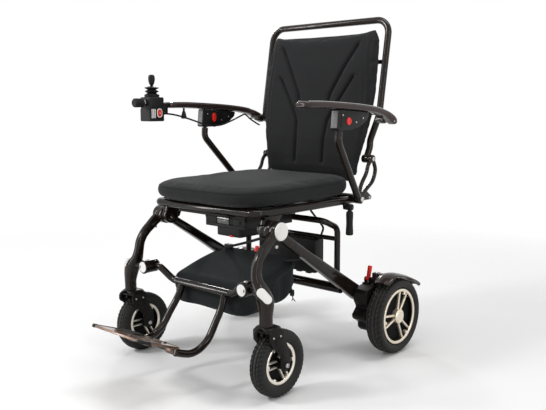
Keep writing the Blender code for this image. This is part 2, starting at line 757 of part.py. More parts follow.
def footrest_frame(gloss):
    # The dropped crossbar with two legs that curve forward under the plate.
    y, z = FOOTREST_AXIS_Y, FOOTREST_AXIS_Z
    end, low_z = FOOTREST_HALF_WIDTH, FOOTREST_AXIS_Z - FOOTREST_DROP
    half_bar = [(end, y, z), (end - 0.0185, y, z), (end - 0.062, y + 0.010, low_z + 0.001)]
    points = half_bar + [(-px, py, pz) for px, py, pz in reversed(half_bar)]
    bar = tube("footrest_frame", filleted(points, [0, 0.018, 0.050, 0.050, 0.018, 0], 3),
               FOOTREST_TUBE, 2)
    top_y, hinge_y, hinge_z = y + 0.012, PLATE_HINGE_Y, PLATE_HINGE_Z
    legs = []
    for side in (-1.0, 1.0):
        splay = FOOT_LEG_X - FOOT_LEG_TOP_X
        route = [
            (side * (FOOT_LEG_TOP_X + splay * share), py, pz) for share, py, pz in (
                (0.0, top_y, low_z), (0.2, top_y - 0.005, low_z - 0.0195),
                (0.5, top_y - 0.019, low_z - 0.0445), (0.8, top_y - 0.0375, low_z - 0.0695),
                (1.0, hinge_y + 0.0895, hinge_z + 0.0190), (1.0, hinge_y + 0.0700, hinge_z + 0.0035),
                (1.0, hinge_y + 0.0500, hinge_z - 0.0050), (1.0, hinge_y + 0.0300, hinge_z - 0.0070),
                (1.0, hinge_y + 0.0120, hinge_z - 0.0035),
            )
        ]
        ahead = Vector((side * FOOT_LEG_X, hinge_y, hinge_z)) + PLATE_AHEAD * 0.022
        legs.append(tube("leg", smooth_route(route, 1) + [ahead], FOOTREST_TUBE, 2))
    rod = cross_pin("rod", hinge_y, hinge_z, -FOOT_LEG_X, FOOT_LEG_X, HINGE_ROD_RADIUS, 16)
    finish(join(bar, *legs, rod), gloss, (0.0, y, z))


def footplate(plate_skin):
    # A thin toe-up plate with a raised front lip and two ears round the hinge rod.
    base = Vector((0.0, PLATE_HINGE_Y, PLATE_HINGE_Z)) + PLATE_UP * (FOOTREST_TUBE + FIT)
    start = base + PLATE_AHEAD * PLATE_START
    middle = start + PLATE_AHEAD * (PLATE_LENGTH / 2.0)
    rings = [
        box_ring(middle + PLATE_UP * height, (1, 0, 0), PLATE_AHEAD,
                 PLATE_HALF_WIDTH - inset, PLATE_LENGTH / 2.0 - inset, 0.022 - inset, 3)
        for height, inset in ((0.0, PLATE_EDGE), (PLATE_EDGE, 0.0),
                              (PLATE_THICKNESS - PLATE_EDGE, 0.0), (PLATE_THICKNESS, PLATE_EDGE))
    ]
    plate = loft("footplate", rings)
    hinge = Vector((0.0, PLATE_HINGE_Y, PLATE_HINGE_Z))
    ears, bores = [], []
    inner, outer = PLATE_EAR_SPAN
    for side in (-1.0, 1.0):
        span = sorted((side * inner, side * outer))
        ears.append(cross_pin("ear", hinge.y, hinge.z, *span, PLATE_EAR_RADIUS, 14))
        centre = Vector((side * (inner + outer) / 2.0, hinge.y, hinge.z)) + PLATE_AHEAD * PLATE_START
        rings = [
            box_ring(centre + PLATE_UP * height, (1, 0, 0), PLATE_AHEAD, (outer - inner) / 2.0, 0.012)
            for height in (-0.0010, FOOTREST_TUBE + 0.0020)
        ]
        ears.append(loft("root", rings))
        wide = (side * (inner + outer) / 2.0 - 0.03, side * (inner + outer) / 2.0 + 0.03)
        bores.append(cross_pin("bore", hinge.y, hinge.z, *wide, HINGE_ROD_RADIUS + RUNNING, BORE_SIDES))
    finish(cut(join(plate, *ears), *bores), plate_skin, tuple(hinge))


# Rear chassis

def rear_beam(gloss):
    # A box section, straight from the knuckle to the drive and deeper towards it.
    run = Vector((BEAM_END_Y - PIVOT_Y, BEAM_END_Z - PIVOT_Z))
    stations = []
    for share, depth, thickness in (
        (0.050, 0.0225, BEAM_EYE_THICKNESS),
        (0.120, 0.0225, BEAM_EYE_THICKNESS),
        (0.200, 0.0235, BEAM_THICKNESS - 0.002),
        (0.350, 0.0245, BEAM_THICKNESS),
        (0.600, 0.0310, BEAM_THICKNESS),
        (0.820, 0.0380, BEAM_THICKNESS),
        (1.000, 0.0420, BEAM_THICKNESS),
    ):
        spot = Vector((PIVOT_Y, PIVOT_Z)) + run * share
        stations.append((spot.x, spot.y, depth, thickness, BEAM_OUTER_X - thickness / 2.0))

    def ring(centre, over, up, half_across, half_up):
        return box_ring(centre, over, up, half_across, half_up, 0.0050, 2)

    beam = side_bar("rear_beam", stations, ring)
    beam = join(beam, cross_pin("eye", PIVOT_Y, PIVOT_Z, BEAM_INNER_X, BEAM_OUTER_X,
                                KNUCKLE_RADIUS, 20))
    beam = cut(beam, cross_pin("bore", PIVOT_Y, PIVOT_Z, BEAM_INNER_X - 0.02, BEAM_OUTER_X + 0.02,
                               PIN_RADIUS + RUNNING, BORE_SIDES))
    pair(beam, gloss)


def rear_hoop(gloss):
    # The inverted U with its middle bar, welded on the lower cross tube.
    reach = BEAM_DEEP_INNER_X - FIT
    base = cross_pin("rear_hoop", HOOP_Y, CROSS_TUBE_Z, -reach, reach, CROSS_TUBE_RADIUS, 16)
    x = HOOP_HALF_WIDTH
    top_y = HOOP_Y - 0.064
    bend_z = HOOP_TOP_Z - 0.027
    points = [(x, HOOP_Y, CROSS_TUBE_Z + 0.004), (x, HOOP_Y, bend_z), (x, top_y, HOOP_TOP_Z),
              (-x, top_y, HOOP_TOP_Z), (-x, HOOP_Y, bend_z), (-x, HOOP_Y, CROSS_TUBE_Z + 0.004)]
    hoop = tube("hoop", filleted(points, [0, 0.026, 0.018, 0.018, 0.026, 0], 2), HOOP_TUBE, 2)
    bar = cross_pin("bar", HOOP_Y, MID_BAR_Z, -x, x, MID_BAR_RADIUS, 12)
    finish(join(base, hoop, bar), gloss)


def control_box(black):
    # The drive electronics' case, hung under the middle bar.
    width, depth, height = CONTROL_BOX_SIZE
    top = MID_BAR_Z - MID_BAR_RADIUS - FIT
    box = block("control_box", (-width / 2.0, HOOP_Y - depth / 2.0, top - height),
                (width / 2.0, HOOP_Y + depth / 2.0, top), 0.005, 1)
    finish(box, black)


def motor_bracket(black):
    # A deep cast housing bolted to the beam's outer side, with the clutch lever's neck.
    y, z = WHEEL_BASE, REAR_WHEEL_RADIUS
    outline = [(y + dy, z + dz) for dy, dz in (
        (-0.086, 0.0800), (-0.052, 0.0870), (-0.012, 0.0880), (0.020, 0.0770), (0.044, 0.0500),
        (0.052, 0.0140), (0.042, -0.0260), (0.012, -0.0460), (-0.0285, -0.0459),
        (-0.0530, -0.0440), (-0.0655, -0.0337), (-0.0660, -0.0190), (-0.0900, -0.0045),
        (-0.0961, 0.0059), (-0.0760, 0.0269), (-0.0882, 0.0475), (-0.0886, 0.0700),
    )]
    corner = [(py, pz, 0.0) for py, pz in outline]
    outline = [(p.x, p.y) for p in filleted(corner, 0.0055, 1, closed=True)]
    plate = side_plate("motor_bracket", outline, MOTOR_INNER_X, MOTOR_FACE_X, 0.0)
    neck_low = z + 0.078
    neck = block("neck", (LEVER_X - NECK_HALF_WIDTH, LEVER_Y - 0.018, neck_low),
                 (LEVER_X + NECK_HALF_WIDTH, LEVER_Y + 0.018, LEVER_Z - 0.0085), 0.002, 1)
    ears = [
        block("ear", (LEVER_X + low, LEVER_Y - 0.0075, LEVER_Z - 0.010),
              (LEVER_X + high, LEVER_Y + 0.0075, LEVER_Z + 0.0055), 0.0015, 1)
        for low, high in ((-LEVER_EAR_OUTER, -LEVER_EAR_INNER), (LEVER_EAR_INNER, LEVER_EAR_OUTER))
    ]
    pin = cross_pin("pin", LEVER_Y, LEVER_Z, LEVER_X - 0.008, LEVER_X + 0.008, LEVER_PIN_RADIUS, 8)
    pair(join(plate, neck, *ears, pin), black)


def freewheel_lever(red):
    # The red lever that lets the motor's clutch go.
    body = cross_pin("freewheel_lever", LEVER_Y, LEVER_Z, LEVER_X - LEVER_HALF_WIDTH,
                     LEVER_X + LEVER_HALF_WIDTH, 0.0064, 12)
    rings = [
        box_ring((LEVER_X, LEVER_Y + 0.25 * rise, LEVER_Z + rise), (1, 0, 0), (0, 1, 0),
                 LEVER_HALF_WIDTH - 0.0004, half, 0.002, 1)
        for rise, half in ((0.002, 0.0050), (0.018, 0.0050), (0.032, 0.0060), (0.0360, 0.0042))
    ]
    lever = join(body, loft("grip", rings))
    lever = cut(lever, cross_pin("bore", LEVER_Y, LEVER_Z, LEVER_X - 0.02, LEVER_X + 0.02,
                                 LEVER_PIN_RADIUS + RUNNING, BORE_SIDES))
    pair(lever, red, (LEVER_X, LEVER_Y, LEVER_Z))


def mudguard(gloss):
    # An arched strip that follows the tyre and runs out behind it.
    y0, z0 = WHEEL_BASE, REAR_WHEEL_RADIUS
    spine = smooth_route([(0.0, y0 + dy, z0 + dz) for dy, dz in (
        (-0.064, 0.1040), (-0.036, 0.1195), (-0.008, 0.1220), (0.031, 0.1130), (0.068, 0.0995),
        (0.099, 0.0850), (GUARD_TAIL, 0.0690))], 2)
    x_in, x_out = MOTOR_FACE_X + 0.004, REAR_WHEEL_X + REAR_TYRE_WIDTH / 2.0 - 0.0005
    rings = []
    count = len(spine)
    for i, spot in enumerate(spine):
        ahead = (spine[min(i + 1, count - 1)] - spine[max(i - 1, 0)]).normalized()
        out = Vector((0.0, -ahead.z, ahead.y))
        if out.z < 0.0:
            out = -out
        taper = 0.0 if i < count - 3 else 0.0060 * (i - count + 3)
        half = (x_out - x_in) / 2.0 - taper
        middle = Vector(((x_in + x_out) / 2.0, spot.y, spot.z))
        ring = []
        for sign in (1.0, -1.0):
            for k in range(3):
                t = sign * (1.0 - k)
                lift = GUARD_THICKNESS / 2.0 * sign - 0.005 * t * t
                ring.append(middle + Vector((half * t, 0.0, 0.0)) + out * lift)
        rings.append(ring)
    guard = loft("mudguard", rings)
    stay = block("stay", (MOTOR_FACE_X - 0.020, y0 - 0.036, z0 + 0.088 + 2.0 * FIT),
                 (MOTOR_FACE_X - 0.002, y0 - 0.016, z0 + 0.1205), 0.0015, 1)
    tongue = block("tongue", (MOTOR_FACE_X - 0.019, y0 - 0.035, z0 + 0.1150),
                   (x_in + 0.008, y0 - 0.017, z0 + 0.1200), 0.001, 1)
    pair(join(guard, tongue, stay), gloss)


def storage_bag(cloth):
    # The carry bag slung between the frames, with webbing tabs to the beams.
    rings = []
    for y, low, top, half, square in (
        (0.008, 0.172, 0.216, 0.124, 3.5), (0.014, 0.160, 0.226, 0.136, 4.0),
        (0.052, 0.153, 0.258, 0.148, 4.5), (0.110, 0.160, 0.292, 0.153, 4.5),
        (0.165, 0.172, 0.308, 0.148, 4.5), (0.205, 0.190, 0.298, 0.140, 4.0),
        (0.212, 0.205, 0.286, 0.128, 3.5),
    ):
        ring = oval_ring((0.0, y, (low + top) / 2.0), (1, 0, 0), (0, 0, 1),
                         half, (top - low) / 2.0, square, 18)
        for point in ring:
            point.x *= 1.0 - BAG_TAPER * (top - point.z) / (top - low)
        rings.append(ring)
    bag = loft("storage_bag", rings)
    tab_reach = BEAM_DEEP_INNER_X - FIT
    tabs = []
    for side in (-1.0, 1.0):
        ends = [(side * 0.118, 0.2850), (side * tab_reach, 0.2960)]
        tabs.append(loft("tab", [
            box_ring((x, 0.188, z), (0, 1, 0), (0, 0, 1), 0.0110, 0.0020) for x, z in ends
        ]))
    finish(join(bag, *tabs), cloth)


# Seat

def seat_frame(gloss):
    # A closed tube loop with pivot lugs, strut bosses and the fold lever's pin.
    x, y0, y1, z = RAIL_X, SEAT_FRONT_Y, SEAT_REAR_Y, RAIL_Z
    corners = [(x, y0, z), (x, y1, z), (-x, y1, z), (-x, y0, z)]
    frame = tube("seat_frame", filleted(corners, SEAT_CORNER, 3, closed=True), RAIL_RADIUS, 2, True)
    tools = []
    for side in (-1.0, 1.0):
        inner, outer = sorted((side * LUG_INNER_X, side * LUG_OUTER_X))
        lug = [
            (PIVOT_Y + 0.018, PIVOT_Z - 0.0100), (PIVOT_Y + 0.029, PIVOT_Z - 0.0050),
            (PIVOT_Y + 0.034, PIVOT_Z + 0.0060), (PIVOT_Y + 0.040, PIVOT_Z + 0.0220),
            (PIVOT_Y + 0.052, z - 0.006), (PIVOT_Y + 0.048, z + 0.004), (PIVOT_Y - 0.014, z + 0.004),
            (PIVOT_Y - 0.012, z - 0.008), (PIVOT_Y - 0.0215, PIVOT_Z),
        ]
        tools.append(side_plate("lug", lug, inner + FIT, outer - FIT))
        tools.append(cross_pin("eye", PIVOT_Y, PIVOT_Z, inner, outer, KNUCKLE_RADIUS - 0.002, 16))
        low, high = sorted((side * (RAIL_X + 0.002), side * (STRUT_EYE_INNER_X - FIT)))
        tools.append(cross_pin("boss", STRUT_FOOT_Y, STRUT_FOOT_Z, low, high, 0.0110, 12))
        low, high = sorted((side * RAIL_X, side * (STRUT_EYE_OUTER_X + 0.003)))
        tools.append(cross_pin("strut_pin", STRUT_FOOT_Y, STRUT_FOOT_Z, low, high,
                               ARM_PIN_RADIUS, 10))
    tools.append(side_plate("lever_lug", [
        (FOLD_LEVER_Y - 0.011, z), (FOLD_LEVER_Y - 0.008, FOLD_LEVER_Z - 0.006),
        (FOLD_LEVER_Y, FOLD_LEVER_Z - 0.009), (FOLD_LEVER_Y + 0.008, FOLD_LEVER_Z - 0.006),
        (FOLD_LEVER_Y + 0.011, z)], RAIL_X, FOLD_LEVER_X - FOLD_LEVER_HALF - FIT))
    tools.append(cross_pin("lever_pin", FOLD_LEVER_Y, FOLD_LEVER_Z, RAIL_X + 0.003,
                           FOLD_LEVER_X + FOLD_LEVER_HALF + 0.0015, HINGE_PIN_RADIUS, 10))
    frame = join(frame, *tools)
    for side in (-1.0, 1.0):
        ends = sorted((side * (LUG_INNER_X - 0.01), side * (LUG_OUTER_X + 0.01)))
        frame = cut(frame, cross_pin("bore", PIVOT_Y, PIVOT_Z, *ends, PIN_RADIUS + RUNNING,
                                     BORE_SIDES))
    finish(frame, gloss, (0.0, PIVOT_Y, PIVOT_Z))


def cushion_outline(inset, count=36):
    # A rounded rectangle whose sides draw in between its corners.
    half_x = CUSHION_HALF_WIDTH - inset
    half_y = (CUSHION_REAR_Y - CUSHION_FRONT_Y) / 2.0 - inset
    centre_y = (CUSHION_REAR_Y + CUSHION_FRONT_Y) / 2.0
    points = []
    for i in range(count):
        angle = FULL_TURN * (i + 0.5) / count
        c, s = math.cos(angle), math.sin(angle)
        squareness = 0.36 if s > 0.0 else 0.42
        a = math.copysign(abs(c) ** squareness, c)
        b = math.copysign(abs(s) ** squareness, s)
        narrow = 1.0 - 0.045 * max(0.0, b) - 0.032 * max(0.0, -b)
        draw_x = 1.0 - 0.012 * (1.0 - b * b)
        draw_y = 1.0 - 0.010 * (1.0 - a * a) * (1.0 if b > 0.0 else -0.6)
        points.append((half_x * a * narrow * draw_x, centre_y + half_y * b * draw_y))
    return points


def seat_cushion(cloth):
    # Stacked outlines: a drawn-in lower edge, a bulging side and a crown that rises rearwards.
    base = SEAT_TOP_Z + FIT
    length = CUSHION_REAR_Y - CUSHION_FRONT_Y
    rings = []
    for share, inset in ((0.0, 0.020), (0.10, 0.008), (0.28, 0.001), (0.42, 0.0), (0.62, 0.001),
                         (0.80, 0.006), (0.89, 0.016), (0.94, 0.038), (0.98, 0.085), (1.0, 0.145)):
        ring = []
        for x, y in cushion_outline(inset):
            back_share = (y - CUSHION_FRONT_Y) / length
            thickness = CUSHION_FRONT_THICKNESS
            thickness += (CUSHION_REAR_THICKNESS - CUSHION_FRONT_THICKNESS) * back_share
            ring.append((x, y, base + share * thickness))
        rings.append(ring)
    finish(loft("seat_cushion", rings), cloth, (0.0, PIVOT_Y, PIVOT_Z), 60.0)


def battery_tray(black):
    # A pressed pan under the frame with two channels for the battery's side grooves.
    half = TRAY_HALF_WIDTH
    y0, y1 = SEAT_FRONT_Y - 0.004, SEAT_REAR_Y + 0.004
    tray = block("battery_tray", (-half, y0, TRAY_LOW_Z), (half, y1, TRAY_TOP_Z), 0.0015, 1)
    shelf_top = BATTERY_TOP_Z - BATTERY_FLANGE - FIT
    y_low, y_high = BATTERY_FRONT_Y + 0.004, BATTERY_FRONT_Y + BATTERY_LENGTH + 0.006
    tools = []
    for side in (-1.0, 1.0):
        wall = sorted((side * (BATTERY_HALF_WIDTH + FIT), side * (BATTERY_HALF_WIDTH + 0.006)))
        shelf = sorted((side * (BATTERY_HALF_WIDTH - BATTERY_GROOVE + FIT),
                        side * (BATTERY_HALF_WIDTH + 0.0055)))
        tools.append(block("wall", (wall[0], y_low, shelf_top - 0.0050),
                           (wall[1], y_high, TRAY_LOW_Z + 0.002)))
        tools.append(block("shelf", (shelf[0], y_low + 0.001, shelf_top - 0.0045),
                           (shelf[1], y_high - 0.001, shelf_top)))
    finish(join(tray, *tools), black, (0.0, PIVOT_Y, PIVOT_Z))


def battery(black):
    # A deep block with side grooves, a narrower lower block and a pull recess.
    x, y0, y1 = BATTERY_HALF_WIDTH, BATTERY_FRONT_Y, BATTERY_FRONT_Y + BATTERY_LENGTH
    top = BATTERY_TOP_Z
    groove_top = top - BATTERY_FLANGE
    pack = block("battery_pack", (-x, y0, top - BATTERY_BODY), (x, y1, top), 0.003, 1)
    low = block("low", (-x + 0.030, y0 + 0.012, top - BATTERY_DEPTH),
                (x - 0.030, y1 - 0.012, top - BATTERY_BODY + 0.004), 0.004, 1)
    grooves = []
    for side in (-1.0, 1.0):
        span = sorted((side * (x - BATTERY_GROOVE), side * (x + 0.01)))
        grooves.append(block("groove", (span[0], y0 - 0.01, groove_top - 0.0055),
                             (span[1], y1 + 0.01, groove_top)))
    middle = top - 0.6 * BATTERY_BODY
    recess = block("recess", (-0.030, y0 - 0.01, middle - 0.009), (0.030, y0 + 0.012, middle + 0.009))
    bar = block("bar", (-0.031, y0 + 0.0025, middle + 0.001),
                (0.031, y0 + 0.0065, middle + 0.0075), 0.0012, 1)
    finish(join(cut(join(pack, low), recess, *grooves), bar), black, (0.0, y0, groove_top))


def back_bracket(gloss):
    # A bent hairpin from the seat rail up to the barrel of the back's hinge.
    x, y, z = STRAND_X, BACK_HINGE_Y, BACK_HINGE_Z
    foot_x = RAIL_X + RAIL_RADIUS + FIT + STRAND_RADIUS + 0.0002
    front = [
        (foot_x, y - 0.066, RAIL_Z + 0.004), (x, y - 0.049, RAIL_Z + 0.041), (x, y - 0.027, z - 0.040),
        (x, y - 0.0185, z - 0.019), (x, y - 0.008, z - 0.006), (x, y, z - 0.001),
    ]
    rear = [
        (foot_x, y - 0.060, RAIL_Z), (x, y - 0.025, RAIL_Z + 0.026), (x, y + 0.005, RAIL_Z + 0.047),
        (x, y + 0.0175, z - 0.035), (x, y + 0.0120, z - 0.014), (x, y + 0.003, z - 0.002),
    ]
    barrel = cross_pin("back_bracket", y, z, BACK_EYE_OUTER_X + FIT, x + STRAND_RADIUS, 0.0115, 14)
    pin = cross_pin("pin", y, z, BACK_EYE_INNER_X + 0.001, x, HINGE_PIN_RADIUS, 10)
    shoe = block("shoe", (RAIL_X + RAIL_RADIUS + FIT, y - 0.0735, RAIL_Z - 0.0035),
                 (x + STRAND_RADIUS + 0.001, y - 0.008, RAIL_Z + 0.0085), 0.002, 1)
    strands = [tube("strand", smooth_route(route, 1), STRAND_RADIUS, 1) for route in (front, rear)]
    pair(join(barrel, pin, shoe, *strands), gloss)


# Back

def back_frame(gloss):
    # One bent tube, drawn in at the foot, with hinge eyes and the arm pivots.
    hinge_y, hinge_z = BACK_HINGE_Y, BACK_HINGE_Z
    half = [
        (BACK_LOW_X, hinge_y, hinge_z), (BACK_LOW_X, hinge_y + 0.0165, hinge_z + 0.032),
        (BACK_LOW_X, hinge_y + 0.0175, hinge_z + 0.052), (BACK_X, hinge_y + 0.0105, hinge_z + 0.125),
        (BACK_X, BACK_TOP_Y, BACK_TOP_Z),
    ]
    points = half + [(-x, y, z) for x, y, z in reversed(half)]
    radii = [0, 0.028, 0.036, 0.055, 0.042, 0.042, 0.055, 0.036, 0.028, 0]
    steps = [0, 2, 2, 2, 4, 4, 2, 2, 2, 0]
    frame = tube("back_frame", filleted(points, radii, steps), BACK_TUBE, 2)
    tools, bores = [], []
    for side in (-1.0, 1.0):
        eye = sorted((side * BACK_EYE_INNER_X, side * BACK_EYE_OUTER_X))
        tools.append(cross_pin("eye", BACK_HINGE_Y, BACK_HINGE_Z, *eye, 0.0118, 14))
        boss = sorted((side * (BACK_X - 0.008), side * (ARM_HINGE_X - FIT)))
        tools.append(cross_pin("boss", ARM_PIVOT_Y, ARM_PIVOT_Z, *boss, 0.0120, 12))
        pin = sorted((side * (BACK_X - 0.004), side * (ARM_X + 0.013)))
        tools.append(cross_pin("pin", ARM_PIVOT_Y, ARM_PIVOT_Z, *pin, ARM_PIN_RADIUS, 8))
        span = sorted((side * (BACK_EYE_INNER_X - 0.01), side * (BACK_EYE_OUTER_X + 0.01)))
        bores.append(cross_pin("bore", BACK_HINGE_Y, BACK_HINGE_Z, *span,
                               HINGE_PIN_RADIUS + RUNNING, BORE_SIDES))
    for z in BACK_BAR_HEIGHTS:
        y = back_middle(z) + BACK_HALF_THICKNESS * BACK_FLATNESS + BACK_BAR_RADIUS + 0.0013
        tools.append(cross_pin("bar", y, z, 0.001 - BACK_X, BACK_X - 0.001, BACK_BAR_RADIUS, 8))
    finish(cut(join(frame, *tools), *bores), gloss, (0.0, BACK_HINGE_Y, BACK_HINGE_Z))


def back_share(z):
    # A height as a share of the cushion's own height.
    return (z - BACK_CUSHION_LOW_Z) / (BACK_CUSHION_TOP_Z - BACK_CUSHION_LOW_Z)


def back_middle(z):
    # How far back the cushion's middle plane lies at a height.
    shares = (0.0, 0.089, 0.219, 0.376, 0.533, 0.742, 0.906, 1.0)
    places = (0.4365, 0.4385, 0.4440, 0.4580, 0.4690, 0.4820, 0.4960, 0.5020)
    return float(np.interp(back_share(z), shares, places))


def back_cushion(cloth):
    # Level sections from the foot up; two columns of points follow the sewn V grooves.
    low, tall = BACK_CUSHION_LOW_Z, BACK_CUSHION_TOP_Z - BACK_CUSHION_LOW_Z
    shares = (0.0, 0.008, 0.032, 0.078, 0.159, 0.240, 0.321, 0.388, 0.442, 0.496, 0.550, 0.617,
              0.671, 0.717, 0.792, 0.873, 0.922, 0.960, 0.984, 0.9946, 1.0)
    rings = []
    for share in shares:
        z = low + tall * share
        half = float(np.interp(share, (0.0, 0.092, 0.226, 0.388, 0.550, 0.765, 0.927, 1.0),
                               (0.158, 0.166, 0.182, 0.196, 0.202, 0.202, 0.194, 0.181)))
        near_end = min(share / 0.043, (1.0 - share) / 0.070, 1.0)
        swell = 0.30 + 0.70 * math.sqrt(1.0 - (1.0 - near_end) ** 2)
        dip = 0.010 * max(0.0, (share - 0.765) / 0.235)
        rings.append(back_section(z, back_middle(z), half * (0.95 + 0.05 * swell), swell, dip))
    finish(loft("back_cushion", rings), cloth, (0.0, BACK_HINGE_Y, BACK_HINGE_Z), 60.0)


def back_section(z, middle, half, swell, dip):
    # One level ring: a crowned front with its grooves, a round edge and a flat back.
    thick = BACK_HALF_THICKNESS * swell
    share = back_share(z)
    short_v = float(np.interp(share, (0.0, 0.348, 0.429, 0.550, 0.755, 0.938, 1.0),
                              (0.030, 0.034, 0.052, 0.060, 0.103, 0.146, 0.150)))
    short_depth = float(np.interp(share, (0.429, 0.469, 0.900, 0.949), (0.0, 1.0, 1.0, 0.0)))
    long_v = float(np.interp(share, (0.0, 0.199, 0.348, 0.442, 0.523, 0.704, 0.846, 1.0),
                             (0.052, 0.053, 0.0585, 0.078, 0.098, 0.143, 0.170, 0.168)))
    long_depth = float(np.interp(share, (0.008, 0.038, 0.663, 0.712), (0.0, 1.0, 1.0, 0.0)))
    lip = GROOVE_HALF_WIDTH
    rest = half * 0.96 - long_v - lip
    columns = [0.0, short_v - lip, short_v, short_v + lip, long_v - lip, long_v, long_v + lip,
               long_v + lip + rest * 0.45, long_v + lip + rest * 0.85]
    dents = {short_v: short_depth, long_v: long_depth}
    front = []
    for x in columns:
        out = x / half
        bulge = thick * (1.0 - 0.28 * out ** 4) - GROOVE_DEPTH * dents.get(x, 0.0)
        front.append((x, middle - bulge, z - dip * (1.0 - out * out)))
    edge = [(half * 0.988, middle - thick * 0.40, z), (half, middle + thick * 0.10, z),
            (half * 0.97, middle + thick * 0.60, z)]
    rear = middle + thick * BACK_FLATNESS
    back = [(half * 0.5, rear, z - dip * 0.75), (0.0, rear, z - dip)]
    right = front + edge + back
    left = [(-x, py, pz) for x, py, pz in reversed(right[1:-1])]
    return right + left


# Arms

# The arm's centre line from its tip: y, z, share of the width, share of the thickness
ARM_LINE = (
    (ARM_TIP_Y, 0.6950, 0.70, 0.55), (ARM_TIP_Y + 0.004, 0.6952, 0.90, 0.85),
    (ARM_TIP_Y + 0.018, 0.6955, 1.00, 1.00), (0.160, 0.6955, 1.00, 1.00),
    (0.240, 0.6925, 0.97, 1.00), (0.320, 0.6880, 0.93, 1.00), (0.390, 0.6815, 0.86, 1.00),
    (0.435, 0.6735, 0.78, 1.05), (ARM_PIVOT_Y - 0.014, 0.6635, 0.77, 1.15),
    (ARM_PIVOT_Y + 0.004, 0.6535, 0.77, 1.10), (ARM_PIVOT_Y + 0.012, 0.6460, 0.66, 0.75),
)


def arm_underside(y):
    places = [spot[0] for spot in ARM_LINE]
    lows = [spot[1] - ARM_THICKNESS * spot[3] / 2.0 for spot in ARM_LINE]
    return float(np.interp(y, places, lows))


def armrest(gloss):
    # The curved arm pad, wide in front and drawn in at the pivot.
    stations = [
        (y, z, ARM_THICKNESS * thick, ARM_WIDTH * width, ARM_X) for y, z, width, thick in ARM_LINE
    ]

    def ring(centre, across, up, half_across, half_up):
        return oval_ring(centre, across, up, half_across, half_up, 2.8, 12)

    bore = cross_pin("bore", ARM_PIVOT_Y, ARM_PIVOT_Z, ARM_HINGE_X, ARM_X + 0.0133,
                     ARM_PIN_RADIUS + RUNNING, BORE_SIDES)
    arm = cut(side_bar("armrest", stations, ring), bore)
    pair(arm, gloss, (ARM_X, ARM_PIVOT_Y, ARM_PIVOT_Z))


def arm_hinge(steel):
    # The stop plate between back tube and arm; its peg carries the arm's rear end.
    y, z = ARM_PIVOT_Y, ARM_PIVOT_Z
    outline = [
        (y + 0.0135, z + 0.002), (y + 0.008, z + 0.0115), (y - 0.004, z + 0.013),
        (y - 0.014, z + 0.007), (y - 0.036, z + 0.0055), (y - 0.042, z - 0.001),
        (y - 0.037, z - 0.0075), (y - 0.012, z - 0.012), (y + 0.006, z - 0.012),
    ]
    plate = side_plate("arm_hinge", outline, ARM_HINGE_X, ARM_HINGE_X + ARM_HINGE_THICKNESS, 0.0)
    peg = cross_pin("peg", y - 0.0360, ARM_PEG_Z, ARM_HINGE_X + 0.002, ARM_X - 0.002, 0.0042, 8)
    bore = cross_pin("bore", y, z, ARM_HINGE_X - 0.01, ARM_HINGE_X + 0.02,
                     ARM_PIN_RADIUS + RUNNING, BORE_SIDES)
    pair(cut(join(plate, peg), bore), steel, (ARM_HINGE_X, y, z))


def arm_latch(black):
    # The moulded socket under the arm that holds the strut's top.
    x0, x1 = ARM_X - LATCH_THICKNESS / 2.0, ARM_X + LATCH_THICKNESS / 2.0
    y, low = STRUT_TOP_Y, LATCH_LOW_Z
    outline = [
        (y - 0.0200, low + 0.002), (y - 0.012, low), (y + 0.030, low), (y + 0.069, low + 0.0064),
        (y + 0.0960, low + 0.0180), (y + 0.1135, low + 0.0305),
    ]
    outline += [(ya, arm_underside(ya) - FIT) for ya in (y + 0.1180, 0.320, y - 0.0150)]
    latch = side_plate("arm_latch", outline, x0, x1, 0.0018)
    bore = cylinder("bore", (ARM_X, y, low - 0.01), (ARM_X, y, low + 0.032), 0.0095, 20)
    slot = cross_pin("slot", BUTTON_Y, BUTTON_Z, x0 - 0.01, x1 + 0.01, BUTTON_RADIUS + RUNNING,
                     2 * BORE_SIDES)
    pair(cut(latch, bore, slot), black, (ARM_X, ARM_PIVOT_Y, ARM_PIVOT_Z))


def release_button(red):
    # A round head outside and an upright oval one inside, on one plunger.
    x0, x1 = ARM_X - LATCH_THICKNESS / 2.0, ARM_X + LATCH_THICKNESS / 2.0
    head = turned(
        "release_button",
        [(0.0, x1 + 0.0035), (BUTTON_RADIUS - 0.002, x1 + 0.0032), (BUTTON_RADIUS, x1 + 0.0018),
         (BUTTON_RADIUS, x0 - FIT - 0.001), (0.0, x0 - FIT - 0.001)],
        14, "X", (0.0, BUTTON_Y, BUTTON_Z),
    )
    rings = [
        oval_ring((x, BUTTON_Y, BUTTON_Z + 0.005), (0, 1, 0), (0, 0, 1), half, 0.0135 - shrink, 2.6, 12)
        for x, half, shrink in ((x0 - FIT, 0.0078, 0.0), (x0 - 0.0028, 0.0078, 0.0),
                                (x0 - 0.0040, 0.0060, 0.0018))
    ]
    pair(join(head, loft("oval", rings)), red, (ARM_X, BUTTON_Y, BUTTON_Z))


